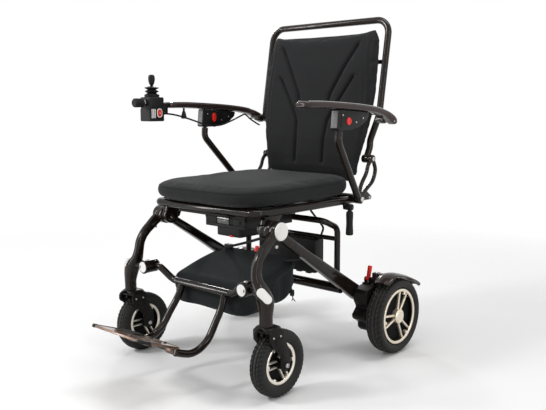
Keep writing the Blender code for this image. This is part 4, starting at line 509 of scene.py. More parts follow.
# Woven cloth: warp and weft are sine waves along two slanting directions, so the weave shows on
# every face; slubs and lint break it up
def wovenCloth(name, colour, light, pitch=0.0013, depth=0.00022, sheen=0.35, fold=0.0006):
    f = Finish(name)
    x, y, z = f.parts(f.spot)
    wobble = f.noise(140.0, 2.0) * 1.6
    k = fullTurn / pitch
    warp = f.sine((x + z * 0.42) * k + wobble)
    weft = f.sine((y + z * 0.91) * k + wobble)
    weave = warp * weft
    slub = f.noise(1.0, 4.0, 0.65, f.centred((0, 0, 0), stretch=(1 / 260, 1 / 90, 1 / 200)))
    lint = f.stops(f.noise(520.0, 2.0), (0.55, 0.0), (0.80, 1.0))
    cloud = f.noise(9.0, 3.0, 0.6)
    tone = f.blendOf(cloud * 0.5 + slub * 0.4, colour, light)
    tone = f.blendOf(lint * 0.22, tone, tuple(c * 2.2 for c in light))
    rucked = f.bump(f.noise(26.0, 3.0, 0.55), fold, 0.5)
    return f.done(colour=tone, roughness=slub * 0.12 + 0.84, specular=0.18, sheen=sheen,
                  sheenRoughness=0.45, sheenTint=tuple(min(1, c * 9) for c in light),
                  normal=f.bump(weave * 0.5 + slub * 0.6, depth, 0.8, rucked))


# Thin plate with fine flecks in its lacquer
def flakedPlate(name, colour, fleck):
    f = Finish(name)
    spots = f.stops(f.noise(900.0, 1.0), (0.58, 0.0), (0.66, 1.0))
    scuffs = f.stops(f.noise(1.0, 5.0, 0.7, f.centred((0, 0, 0), stretch=(1 / 30, 1 / 160, 1 / 90))),
                     (0.52, 0.0), (0.80, 1.0))
    tone = f.blendOf(spots * 0.5, colour, fleck)
    tone = f.blendOf(scuffs * 0.35, tone, tuple(c * 1.8 for c in fleck))
    return f.done(colour=tone, metallic=0.55, roughness=scuffs * 0.22 + 0.24, coat=0.3,
                  coatRoughness=0.12, normal=f.bump(spots, 0.00002, 0.4))


gloss = glossPaint()
bracketPaint = glossPaint("castingPaint", {**paint, "roughness": 0.34, "coat": 0.0, "peel": 0.00008,
                                            "specular": 0.12,
                                            "colour": (0.0055, 0.0050, 0.0050),
                                            "brown": (0.0120, 0.0100, 0.0090)})
guardPaint = glossPaint("mudguardPaint", {**paint, "colour": (0.022, 0.014, 0.013),
                                          "brown": (0.046, 0.029, 0.026), "roughness": 0.18})
frontRubber = tyreRubber("frontTyreRubber", (0, axleY, chair["frontR"]), chair["frontR"])
rearRubber = tyreRubber("rearTyreRubber", (0, axleY + chair["wheelBase"], chair["rearR"]),
                        chair["rearR"])
frontAlloy = castAlloy("frontRimAlloy", (0, axleY, chair["frontR"]), (0.95, 0.91, 0.84))
rearAlloy = castAlloy("rearRimAlloy", (0, axleY + chair["wheelBase"], chair["rearR"]),
                      (0.90, 0.83, 0.72))
plastic = satinPlastic("satinBlackPlastic", (0.0060, 0.0060, 0.0065))
grip = satinPlastic("gripRubber", (0.0085, 0.0085, 0.0090), 0.58, 500.0, 0.00015)
wellBlack = satinPlastic("wheelWell", (0.0035, 0.0035, 0.0035), 0.60, 500.0, 0.00006, 0.08)
# Grey plastic for the latch faces; on the battery pull the same grey is painted sheen
greyPlasticAndSheen = satinPlastic("greyPlasticAndSheen", (0.115, 0.115, 0.112), 0.26, 700.0, 0.00003, 0.5)
boot = satinPlastic("bootRubber", (0.0065, 0.0065, 0.0070), 0.46, 700.0, 0.00008)
cream = satinPlastic("creamCap", (0.80, 0.78, 0.74), 0.26, 500.0, 0.00002, 0.5)
red = satinPlastic("redPlastic", (0.80, 0.014, 0.008), 0.30, 800.0, 0.00003, 0.4)
steel = brushedMetal("platedSteel", (0.62, 0.61, 0.60))
dullSteel = brushedMetal("dullSteel", (0.17, 0.17, 0.17), 0.24)
silver = brushedMetal("silverTrim", (0.80, 0.78, 0.74), 0.20)
bronze = flakedPlate("bronzePlate", (0.115, 0.062, 0.038), (0.26, 0.16, 0.10))
seatCloth = wovenCloth("charcoalCloth", (0.0108, 0.0112, 0.0112), (0.0225, 0.0232, 0.0230))
backCloth = wovenCloth("backCloth", (0.0120, 0.0122, 0.0130), (0.0225, 0.0228, 0.0240))
bagCloth = wovenCloth("bagCloth", (0.0085, 0.0100, 0.0104), (0.0200, 0.0232, 0.0240), 0.0009,
                      0.00012, 0.20, 0.0022)
webbing = wovenCloth("webbing", (0.010, 0.010, 0.011), (0.020, 0.020, 0.021), 0.0022, 0.0003)
cordSkin = satinPlastic("cordSheath", (0.0125, 0.0125, 0.0130), 0.38, 600.0, 0.00003)
print("finishes made")


# Wheels

tyres = {"sipes": 44, "groove": 0.0036, "sipeDepth": 0.0027, "skew": 3.2}


# The section over the crown is a smooth line from bead to bead; round it go ring grooves, and the
# shoulders are cut by slanting sipes, both taken off the radius
def treadedTyre(radius, bead, width, place, options=tyres):
    half, wall = width / 2, radius - bead
    line = [(bead - 0.002, 0.60), (bead + 0.0005, 0.68), (bead + 0.22 * wall, 0.90),
            (bead + 0.52 * wall, 1.0), (bead + 0.78 * wall, 0.93), (bead + 0.93 * wall, 0.70),
            (bead + 0.995 * wall, 0.36), (radius, 0.0)]
    line = line + [(r, -h) for r, h in reversed(line[:-1])]
    section = smoothRoute(line, 6)
    count = options["sipes"] * 7
    angle = (fullTurn * np.arange(count) / count)[:, None]
    r, h = section[:, 0][None, :], section[:, 1][None, :]
    crown = eased(r, bead + 0.60 * wall, bead + 0.72 * wall)
    away = np.abs(h)
    ringCut = hill(away, 0.24, 0.070) + 0.9 * hill(away, 0.62, 0.060)
    phase = (angle * options["sipes"] / fullTurn + away * options["skew"] * 0.3) % 1
    sipe = hill(phase, 0.5, 0.13) * eased(away, 0.26, 0.34) * (1 - eased(away, 0.90, 0.98))
    middle = hill(phase, 0.5, 0.10) * (1 - eased(away, 0.10, 0.16)) * 0.6
    depth = options["groove"] * ringCut * crown + options["sipeDepth"] * (sipe + middle) * crown
    r = r - np.minimum(depth, options["groove"])
    points = np.stack([half * h + 0 * angle, r * np.cos(angle), r * np.sin(angle)], -1)
    return (points + np.asarray(place)).reshape(-1, 3), gridFaces(count, len(section), True, True)


# A flat bar with soft edges between two points of one wheel plane
def spokeBar(start, end, wide, deep, taper=1.0):
    route = np.linspace(start, end, 5)
    share = np.linspace(1.0, taper, 5)
    return sweep(route, deep / 2, wide / 2 * share, np.cross(unit(end - start), acrossX),
                 power=4.5, count=20)


def rimLip(inner, outer, high, sign):
    profile = [(inner, high - 0.0040), (inner - 0.0006, high - 0.0008), (inner + 0.0010, high + 0.0008),
               (outer - 0.0022, high + 0.0012), (outer - 0.0004, high + 0.0002),
               (outer - 0.0002, high - 0.0030)]
    return softProfile([(r, sign * h) for r, h in profile], 0.0008)


# The machined face: a lip on each open side, three pairs of bars and short blocks on the lip
def rimFace(centre, outer, wall, span, spoke, firstAngle, blocks, hubR):
    inner = outer - wall
    shapes = [lathe(rimLip(inner, outer, high, sign), centre, "x", 96, closed=True)
              for sign, high in ((1, span[1]), (-1, -span[0]))]
    wide, spanLow, spanHigh, near, far = spoke
    lift = acrossX * (spanLow + spanHigh) / 2
    for k in range(3):
        angle = firstAngle + fullTurn * k / 3
        outward = np.array((0, math.cos(angle), math.sin(angle)))
        aside = np.array((0, -math.sin(angle), math.cos(angle)))
        for sign in (-1, 1):
            start = np.array(centre) + outward * (hubR * 0.82) + aside * sign * near + lift
            end = np.array(centre) + outward * (inner + 0.004) + aside * sign * far + lift
            shapes.append(spokeBar(start, end, wide, spanHigh - spanLow))
            # A shallow rib down the middle of each bar
            rise = acrossX * (spanHigh - spanLow) / 2
            shapes.append(spokeBar(start + rise, end + rise, wide * 0.34, 0.0016))
        for turn, tall in blocks:
            out = np.array((0, math.cos(angle + turn), math.sin(angle + turn)))
            base = np.array(centre) + out * (inner - tall) + acrossX * (span[1] - 0.005)
            shapes.append(spokeBar(base, base + out * (tall + 0.003), 0.0085, 0.010, 1.25))
    return shapes


# The dark well between the lips, and the hub
def rimWell(centre, outer, wall, span):
    inner = outer - wall
    low, high = span
    profile = softProfile([(inner + 0.0002, high - 0.002), (outer - 0.0006, high - 0.0020),
                           (outer - 0.0006, low + 0.0020), (inner + 0.0002, low + 0.002),
                           (inner + 0.0030, low + 0.006), (inner + 0.0036, 0.0),
                           (inner + 0.0030, high - 0.006)], 0.0006)
    return lathe(profile, centre, "x", 96, closed=True)


def hubShape(centre, hubR, low, high):
    return turned([(0, low), (hubR - 0.001, low), (hubR, low + 0.002), (hubR, high - 0.002),
                   (hubR * 0.86, high), (hubR * 0.30, high), (0, high)], 0.001, centre, "x", 64)


# A spoke is its width, its two levels, and how far apart a pair is near the hub and at the rim
wheelSizes = {
    "front": {"radius": chair["frontR"], "bead": 0.0525, "tyreWide": 0.040, "outer": 0.0522,
              "wall": 0.0078, "span": (-0.0125, 0.0125), "hubR": 0.013, "hub": (-0.0195, 0.0195),
              "spoke": (0.0046, -0.0095, 0.0095, 0.0069, 0.0080), "turn": 60,
              "blocks": [(math.pi / 3, 0.0045), (0.0, 0.0035)]},
    "rear": {"radius": chair["rearR"], "bead": 0.0787, "tyreWide": 0.050, "outer": 0.0784,
             "wall": 0.0080, "span": (-0.0200, 0.0208), "hubR": 0.0205, "turn": 66,
             "blocks": [(0.0, 0.008)]},
}


# Makes the tyres and gives back the rim's machined face
def tyreAndRim(name, place, sizes, spoke, rubber, body, nodes):
    tyre = treadedTyre(sizes["radius"], sizes["bead"], sizes["tyreWide"], place)
    pairOf(name + "Tyre", [tyre], rubber, body, nodes + "_tyre")
    return rimFace(tuple(place), sizes["outer"], sizes["wall"], sizes["span"], spoke,
                   math.radians(sizes["turn"]), sizes["blocks"], sizes["hubR"])


def frontWheels(sizes=wheelSizes["front"]):
    place = (chair["frontX"], 0.0, chair["frontR"])
    rim = tyreAndRim("front", place, sizes, sizes["spoke"], frontRubber, "caster_wheel_", "caster")
    webOuter, webHalf = 0.0462, 0.0022
    web = turned([(0.0100, -webHalf), (webOuter, -webHalf), (webOuter, webHalf), (0.0100, webHalf)],
                 0.0004, place, "x", 96, closed=True)
    well = [rimWell(place, sizes["outer"], sizes["wall"], sizes["span"]), web,
            hubShape(place, sizes["hubR"], *sizes["hub"])]
    pairOf("frontRim", rim, frontAlloy, "caster_wheel_", "caster_rim")
    pairOf("frontWell", well, wellBlack, "caster_wheel_")


def rearWheels(sizes=wheelSizes["rear"]):
    place = np.array((chair["rearX"], chair["wheelBase"], chair["rearR"]))
    # The motor drum's face, counted from the middle of the wheel; every part of the rim clears it
    face = chair["drumFace"] - chair["rearX"]
    spoke = (0.0064, face + 0.0034, face + 0.0114, 0.0062, 0.0200)
    rim = tyreAndRim("rear", place, sizes, spoke, rearRubber, "rear_wheel_", "rear")
    rim.append(hubShape(place, sizes["hubR"], face + 0.0022, 0.0235))
    pairOf("rearRim", rim, rearAlloy, "rear_wheel_", "rear_rim")
    cover = turned([(0.0190, face + 0.0018), (0.0716, face + 0.0018), (0.0716, face + 0.0030),
                    (0.0640, face + 0.0034), (0.0190, face + 0.0034)], 0.0005, place, "x", 96,
                   closed=True)
    well = rimWell(tuple(place), sizes["outer"], sizes["wall"], sizes["span"])
    pairOf("rearWell", [well, cover], wellBlack, "rear_wheel_")
    cap = turned([(0, 0.0232), (0.0165, 0.0232), (0.0165, 0.0243), (0.0140, 0.0250), (0.0118, 0.0243),
                  (0, 0.0243)], 0.0005, place, "x", 64)
    pairOf("hubCap", [cap], rearAlloy, "rear_wheel_")


# The still motor drum behind the spokes, with cooling ribs and cover screws
def motorDrums():
    y, z, face, back = chair["wheelBase"], chair["rearR"], chair["drumFace"], 0.2623
    ribs = []
    for k in range(5):
        h = back + 0.003 + k * 0.0052
        ribs += [(0.0600, h), (0.0600, h + 0.0020), (0.0588, h + 0.0026), (0.0588, h + 0.0046)]
    front = [(0.0, face + 0.0085), (0.0056, face + 0.0085), (0.0056, face), (0.040, face),
             (0.042, face - 0.0012), (0.052, face - 0.0012), (0.054, face), (0.0585, face),
             (0.0600, face - 0.0015)]
    rear = [(0.0590, back), (0.020, back), (0.020, 0.2576), (0.0, 0.2576)]
    drum = [lathe(front + ribs[::-1] + rear, (0, y, z), "x", 72)]
    screws, ringR = 8, 0.047
    for k in range(screws):
        a = fullTurn * k / screws
        drum.append(boltHead((face - 0.001, y + ringR * math.cos(a), z + ringR * math.sin(a)),
                             "x", 0.0028, 0.0018))
    pairOf("motorDrum", drum, plastic, "chassis", "hub_motor")


# Front end

legOptions = {
    "line": (
        (0.0350, 0.030, 0.030, 0.0170, 0.00, 3.2), (0.0190, 0.080, 0.029, 0.0175, 0.00, 3.2),
        (0.0050, 0.134, 0.027, 0.0180, 0.00, 3.2), (-0.0095, 0.196, 0.026, 0.0180, 0.04, 3.2),
        (-0.0215, 0.262, 0.025, 0.0185, 0.05, 3.2), (-0.0305, 0.340, 0.025, 0.0190, 0.05, 3.2),
        (-0.0345, 0.430, 0.026, 0.0200, 0.06, 3.0), (-0.0355, 0.500, 0.029, 0.0230, 0.16, 2.9),
        (-0.0350, 0.555, 0.034, 0.0290, 0.34, 2.7), (-0.0355, 0.620, 0.040, 0.0360, 0.60, 2.6),
        (-0.0370, 0.690, 0.041, 0.0390, 0.82, 2.5), (-0.0378, 0.770, 0.038, 0.0370, 0.95, 2.3),
        (-0.0395, 0.870, 0.0335, 0.0325, 1.00, 2.0), (-0.0395, 0.940, 0.0325, 0.0325, 1.00, 2.0),
        (-0.0395, 1.000, 0.0325, 0.0325, 1.00, 2.0)),
    "footZ": 0.182, "eyeX": 0.2213,
}


def frontLegs(options=legOptions):
    rows = smoothRoute(options["line"], 7)
    drop = chair["pivotZ"] - options["footZ"]
    path = np.stack([options["eyeX"] + (chair["frontX"] - options["eyeX"]) * rows[:, 4], rows[:, 0],
                     chair["pivotZ"] - drop * rows[:, 1]], -1)
    ahead = unit(np.gradient(path, axis=0) * np.array((0, 1, 1)))
    up = np.stack([0 * rows[:, 0], -ahead[:, 2], ahead[:, 1]], -1)
    a, b = roundSection(rows[:, 5], 40)
    rings = (path[:, None] + acrossX * (rows[:, 3:4] / 2 * a)[..., None]
             + up[:, None] * (rows[:, 2:3] / 2 * b)[..., None])
    # The last two rings close the foot on a small rim
    foot = path[-1] + (rings[-1:] - path[-1]) * np.array((0.94, 0.94, 1.0))
    rings[-1] = rings[-1] + upZ * 0.001
    rings = np.concatenate([rings, foot])
    y, z = chair["pivotY"], chair["pivotZ"]
    inner, outer = chair["beamX"] + fit, chair["beamX"] + fit + 0.018
    eye = eyeRing((0.0078, 0.0245), inner, outer, 0.0014, y, z)
    collar = turned([(0.010, 0.1860), (0.0170, 0.1860), (0.0170, 0.1822), (0.010, 0.1822)], 0.0006,
                    (chair["frontX"], chair["stemY"], 0), "z", 48)
    pairOf("frontLeg", [skin(rings), eye, collar], gloss, "front_frame", "front_leg")


# The long round badge on the leg's block lies in the surface's own plane: an oval pad
# whose face is a shallow dome
def legTrim():
    options = {"middle": (0.26363, -0.04855, 0.25594), "long": 0.0212, "wide": 0.0108}
    facing = unit((0.7956, -0.4284, 0.4284))
    down = unit((0.5832, 0.3503, -0.7329))
    aside = np.cross(facing, down)
    rings = []
    for share, lift in ((1.0, -0.005), (1.0, 0.0012), (0.97, 0.0018), (0.90, 0.0021), (0.60, 0.0026),
                        (0.25, 0.0028)):
        flat = softRectangle(options["long"] * share, options["wide"] * share,
                             options["wide"] * share * 0.999, 9)
        inPlane = down * flat[:, :1] + aside * flat[:, 1:]
        rings.append(np.array(options["middle"]) + inPlane + facing * lift)
    pairOf("legTrim", [skin(rings)], cream, "front_frame")


def pivotCaps():
    y, z, face = chair["pivotY"], chair["pivotZ"], chair["beamX"] + 0.0186
    profile = [(0, face + 0.0065), (0.0100, face + 0.0065), (0.0186, face + 0.0064),
               (0.0224, face + 0.0042), (0.0224, face), (0.0079, face), (0.0079, 0.1770), (0, 0.1770)]
    radii = [0, 0.0, 0.002, 0.0025, 0.0004, 0, 0, 0]
    cap = lathe(softProfile(profile, radii, 5), (0, y, z), "x", 72)
    pairOf("pivotCap", [cap], cream, "chassis", "pivot_cap")
    ribs = [(0.0118 if k % 2 else 0.0104, 0.1610 + 0.00135 * k) for k in range(11)]
    barrel = lathe(softProfile([(0, 0.1605), *ribs, (0, 0.1762)], 0.0002, 2), (0, y, z), "x", 40)
    piece("pivotBarrel", [barrel], dullSteel, "chassis")
    # A bolt under the cap, on the leg's eye
    bolt = boltHead((face - 0.0015, 0.0300, 0.3560), "x", 0.0042, 0.0030)
    pairOf("knuckleBolt", [bolt], silver, "front_frame")


def footrestBrackets():
    x, y, z = 0.189, -0.051, chair["footBarZ"]
    drum = turned([(0, y + 0.050), (0.0150, y + 0.050), (0.0176, y + 0.045), (0.0176, y + 0.0115),
                   (0.0170, y + 0.0105), (0.0170, y + 0.0095), (0.0185, y + 0.0085), (0.0185, y + 0.0025),
                   (0.0160, y + 0.0004), (0, y + 0.0004)], 0.0008, (x, 0, z), "y", 64)
    neck = sweep([(x, y + 0.026, z), (0.215, -0.030, z), (chair["frontX"] - 0.012, -0.0355, z)],
                 [0.0122, 0.0118, 0.0122], count=32)
    socket = spanX(chair["footBarY"], z, 0.1762, x, 0.0145, 0.0010, 40)
    pairOf("footrestBracket", [drum, neck, socket], gloss, "front_frame", "footrest_bracket")
    face = lathe(softProfile([(0, y - 0.0002), (0.0135, y - 0.0002), (0.0158, y + 0.0012),
                              (0.0158, y + 0.0030), (0, y + 0.0030)], 0.0010, 4), (x, 0, z), "y", 64)
    pairOf("bracketFace", [face], cream, "front_frame")
    # A dark slot at the outer side of the face and a chrome screw on top of the drum
    slot = block((x + 0.0085, y - 0.0006, z - 0.0042), (x + 0.0120, y + 0.0010, z + 0.0042), 0.0005,
                 0.0016, "y")
    pairOf("faceSlot", [slot], plastic, "front_frame")
    pairOf("drumScrew", [boltHead((x, y + 0.0160, z + 0.0172), "z", 0.0044, 0.0032)], silver,
           "front_frame")


def casterForks():
    x, stemY, axle = chair["frontX"], chair["stemY"], chair["frontR"]
    top = 0.1817
    rings = []
    for level, halfX, halfY, corner, shiftY in (
            (0.0, 0.0215, 0.0200, 0.0195, 0.004), (-0.0012, 0.0235, 0.0220, 0.020, 0.005),
            (-0.0030, 0.0265, 0.0250, 0.019, 0.007), (-0.0075, 0.0280, 0.0262, 0.014, 0.007),
            (-0.0115, 0.0284, 0.0264, 0.011, 0.007), (-0.0128, 0.0272, 0.0254, 0.010, 0.007)):
        flat = softRectangle(halfX, halfY, corner, 6)
        rings.append(laid(flat, top + level, "z") + np.array((x, stemY + shiftY, 0)))
    shapes = [skin(rings)]
    crown = top - 0.013
    outline = [(stemY - 0.016, crown + 0.006), (stemY + 0.030, crown + 0.006),
               (stemY + 0.036, crown - 0.020), (0.016, axle + 0.030), (0.0165, axle + 0.002),
               (0.0120, axle - 0.011), (0.0, axle - 0.0165), (-0.0120, axle - 0.011),
               (-0.0165, axle + 0.002), (-0.018, axle + 0.026), (stemY - 0.014, crown - 0.022)]
    for side in (-1, 1):
        low, high = x + side * 0.0236, x + side * 0.0284
        shapes.append(slab(outline, low, high, 0.0014, 0.006))
        raised = [(a * 0.60 - 0.010 * 0.40, b * 0.62 + (axle + 0.040) * 0.38) for a, b in outline]
        shapes.append(slab(raised, x + side * 0.0280, x + side * 0.0298, 0.0008, 0.005))
        cover = [(0, 0.0318), (0.0070, 0.0318), (0.0100, 0.0310), (0.0112, 0.0292), (0.0112, 0.0270),
                 (0, 0.0270)]
        cover = softProfile([(r, side * h) for r, h in cover], 0.0006)
        shapes.append(lathe(cover, (x, 0, axle), "x", 48))
    shapes.append(spanX(0, axle, x - 0.0316, x + 0.0316, 0.005))
    shapes.append(lathe([(0, crown + 0.004), (0.008, crown + 0.004), (0.008, 0.216), (0.007, 0.218),
                         (0, 0.218)], (x, stemY, 0), "z", 32))
    front = stemY - 0.036
    loop = bentRoute([(x, stemY - 0.012, top - 0.0055), (x, front, top - 0.003),
                      (x, front, crown - 0.0120), (x, stemY - 0.016, crown - 0.0120),
                      (x, stemY - 0.008, crown + 0.004)], [0, 0.008, 0.008, 0.006, 0], 6)
    shapes.append(sweep(loop, 0.0040, facing=acrossX, count=20))
    pairOf("casterFork", shapes, bracketPaint, "caster_", "caster_fork")
    screws = [boltHead((x + side * 0.0312, 0, axle), "x", 0.0052, 0.0036, side) for side in (-1, 1)]
    screws += [boltHead((x + side * 0.0283, stemY + dy, crown - 0.010), "x", 0.0026, 0.0016, side)
               for side in (-1, 1) for dy in (-0.004, 0.020)]
    pairOf("forkScrew", screws, steel, "caster_")


def footrest():
    y, z, end = chair["footBarY"], chair["footBarZ"], 0.176
    low, r = z - 0.0325, chair["tubeR"]
    half = [(end, y, z), (end - 0.0185, y, z), (end - 0.062, y + 0.010, low + 0.001)]
    bar = half + [(-a, b, c) for a, b, c in reversed(half)]
    bar = bentRoute(bar, [0, 0.018, 0.050, 0.050, 0.018, 0], 10)
    shapes = [sweep(bar, r, facing=alongY, rim=0.0012, count=36)]
    hingeY, hingeZ, slope = -0.152, 0.104, math.radians(20.8)
    toePoint = (1.0, hingeY - 0.022 * math.cos(slope), hingeZ + 0.022 * math.sin(slope))
    # Each hanger from the bar to the hinge: how far out it has come, Y and Z
    hanger = [(0.0, y + 0.012, low), (0.2, y + 0.007, low - 0.0195), (0.5, y - 0.007, low - 0.0445),
              (0.8, y - 0.0255, low - 0.0695), (1.0, -0.0625, 0.1230), (1.0, -0.082, 0.1075),
              (1.0, -0.102, 0.0990), (1.0, -0.122, 0.0970), (1.0, -0.140, 0.1005), toePoint]
    for side in (-1, 1):
        route = [(side * (0.081 + 0.007 * share), b, c) for share, b, c in hanger]
        shapes.append(sweep(smoothRoute(route, 8), r, facing=acrossX, rim=0.0015, count=36))
        shapes.append(lathe([(r + 0.0004, 0.0), (r + 0.0022, 0.0010), (r + 0.0004, 0.0045)],
                            (side * 0.0812, y + 0.0105, low - 0.0115), "z", 36, closed=True))
    shapes.append(spanX(hingeY, hingeZ, -0.088, 0.088, 0.0055))
    piece("footrestFrame", shapes, gloss, "footrest", ["footrest_frame"])
    plateAt(hingeY, hingeZ, slope, r)


def plateAt(hingeY, hingeZ, slope, r):
    ahead = np.array((0, -math.cos(slope), math.sin(slope)))
    up = np.array((0, math.sin(slope), math.cos(slope)))
    hinge = np.array((0, hingeY, hingeZ))
    options = {"halfWidth": 0.106, "length": 0.124, "start": 0.016, "corner": 0.022}
    middle = hinge + up * (r + fit) + ahead * (options["start"] + options["length"] / 2)

    def lifted(height, inset):
        flat = softRectangle(options["halfWidth"] - inset, options["length"] / 2 - inset,
                             options["corner"] - inset, 8)
        return middle + acrossX * flat[:, :1] + ahead * flat[:, 1:] + up * height

    # Levels from the underside up, each with how far it's drawn in; both faces are dished
    levels = ((0.0030, 0.0032), (0.0, 0.0030), (0.0, 0.0012), (0.0010, 0.0), (0.0050, 0.0),
              (0.0060, 0.0008), (0.0060, 0.0024), (0.0048, 0.0036))
    shapes = [skin([lifted(height, inset) for height, inset in levels])]
    for side in (-1, 1):
        shapes.append(spanX(hingeY, hingeZ, side * 0.036, side * 0.068, 0.0098, 0.0010))
        root = hinge + acrossX * side * 0.052
        strip = [root + ahead * 0.004 + up * 0.0055, root + ahead * 0.028 + up * 0.0085]
        shapes.append(sweep(strip, 0.016, 0.0042, up, 5.0, 24))
    piece("footPlate", shapes, bronze, "footplate_body", ["footplate"])
    plateFittings(middle, ahead, up, options)


# Rubber on the plate: a ribbed pad at its rear right, tips on the front corners; and its screws
def plateFittings(middle, ahead, up, options):
    pads = []
    flatPad = softRectangle(0.030, 0.018, 0.006, 5)
    spot = middle + acrossX * -0.052 - ahead * 0.030
    pads.append(skin([spot + acrossX * flatPad[:, :1] * k + ahead * flatPad[:, 1:] * k + up * h
                      for h, k in ((0.004, 1.0), (0.0068, 1.0), (0.0076, 0.97), (0.0078, 0.90))]))
    for k in range(5):
        line = spot + ahead * (0.006 * (k - 2)) + up * 0.0078
        pads.append(sweep([line - acrossX * 0.024, line, line + acrossX * 0.024], 0.0011, facing=up,
                          rim=0.0003, count=12))
    corner, tipR = options["corner"], options["corner"] - 0.0002
    aside, onward = options["halfWidth"] - corner, options["length"] / 2 - corner
    a = np.linspace(0, np.pi / 2, 12)[:, None]
    for side in (-1, 1):
        tip = middle + acrossX * side * aside + ahead * onward
        arc = tip + acrossX * side * (np.cos(a) * tipR) + ahead * (np.sin(a) * tipR) + up * 0.003
        pads.append(sweep(arc, 0.0022, 0.0038, up, 3.0, 16, rim=0.0008))
    piece("plateRubber", pads, grip, "footplate_body")
    screws = []
    for x in (-0.052, 0.0, 0.052):
        spot = middle + acrossX * x - ahead * (options["length"] / 2 - 0.012)
        dome, faces = lathe([(0, 0.0022), (0.0030, 0.0016), (0.0042, 0.0), (0.0042, -0.004), (0, -0.004)],
                            axis="z", count=24)
        spun = dome[:, :1] * acrossX + dome[:, 1:2] * ahead + dome[:, 2:] * up
        screws.append((spun + spot + up * 0.006, faces))
        screws.append((spun + spot - up * 0.0005 - 2 * up * dome[:, 2:], faces))
    piece("plateScrews", screws, plastic, "footplate_body")


# Rear chassis

def rearBeams():
    start, end = np.array((chair["pivotY"], chair["pivotZ"])), np.array((0.400, 0.167))
    rows = np.array([(0.05, 0.0225, 0.018), (0.12, 0.0225, 0.018), (0.20, 0.0235, 0.022),
                     (0.35, 0.0245, 0.024), (0.60, 0.031, 0.024), (0.82, 0.038, 0.024),
                     (1.0, 0.042, 0.024)])
    share = np.linspace(0.05, 1.0, 60)
    deep = np.interp(share, rows[:, 0], rows[:, 1])
    thick = np.interp(share, rows[:, 0], rows[:, 2])
    deep, thick = (np.convolve(np.pad(v, 3, "edge"), np.ones(7) / 7, "valid") for v in (deep, thick))
    spot = start + (end - start) * share[:, None]
    path = np.stack([chair["beamX"] - thick / 2, spot[:, 0], spot[:, 1]], -1)
    run = unit(end - start)
    up = np.array((0, -run[1], run[0]))
    flats = [softRectangle(t / 2, d / 2, 0.0052, 6) for t, d in zip(thick, deep)]
    rings = [middle + acrossX * flat[:, :1] + up * flat[:, 1:] for middle, flat in zip(path, flats)]
    y, z = start
    inner, outer = chair["beamX"] - 0.018, chair["beamX"]
    eye = eyeRing((0.0078, 0.0245), inner, outer, 0.0012, y, z)
    # A raised panel runs along the outer face
    panelPath = path[10:52] + acrossX * (thick[10:52, None] / 2 - 0.0004)
    panel = sweep(panelPath, 0.0008, deep[10:52] * 0.30, up, 4.0, 20, rim=0.0004)
    pairOf("rearBeam", [skin(rings), eye, panel], gloss, "chassis", "rear_beam")


def rearHoop():
    y, top, x, r = chair["hoopY"], 0.384, 0.172, 0.0085
    foot = 0.190
    points = [(x, y, foot), (x, y, top - 0.027), (x, y - 0.064, top), (-x, y - 0.064, top),
              (-x, y, top - 0.027), (-x, y, foot)]
    hoop = sweep(bentRoute(points, [0, 0.026, 0.018, 0.018, 0.026, 0], 10), r,
                 facing=unit((0.0, 1.0, 0.35)), count=36)
    shapes = [hoop, spanX(y, 0.186, -0.1877, 0.1877, 0.0135, 0.0010, 48),
              spanX(y, chair["boxBarZ"], -x, x, chair["boxBarR"])]
    weld = [(r + 0.0002, 0), (r + 0.0030, 0.0004), (r + 0.0002, 0.0050)]
    shapes += [lathe(weld, (side * x, y, 0.1985), "z", 40, closed=True) for side in (-1, 1)]
    piece("rearHoop", shapes, gloss, "chassis", ["rear_hoop"])


def controlBox():
    y, top = chair["hoopY"], chair["boxBarZ"] - chair["boxBarR"] - fit
    low, high = np.array((-0.110, y - 0.020, top - 0.098)), np.array((0.110, y + 0.020, top))
    shapes = [block(low, high - (0, 0.0085, 0), 0.004, 0.006, "y"),
              block(low + (0.0012, 0.0300, 0.0012), high - (0.0012, 0, 0.0012), 0.0035, 0.006, "y")]
    for k in range(9):
        x = -0.088 + k * 0.022
        shapes.append(block((x - 0.0022, y + 0.0180, top - 0.084), (x + 0.0022, y + 0.0218, top - 0.014),
                            0.0009, 0.0015, "y"))
    piece("controlBox", shapes, plastic, "chassis", ["control_box"])
    screws = [boltHead((sx * 0.101, y + 0.0185, top - 0.049 + sz * 0.040), "y", 0.0028, 0.0020)
              for sx in (-1, 1) for sz in (-1, 1)]
    piece("boxScrews", screws, steel, "chassis")
    plugs = [block((x - 0.009, y - 0.006, top - 0.1050), (x + 0.009, y + 0.010, top - 0.096), 0.0012,
                   0.002) for x in (-0.070, -0.035, 0.035, 0.070)]
    piece("boxPlugs", plugs, grip, "chassis")


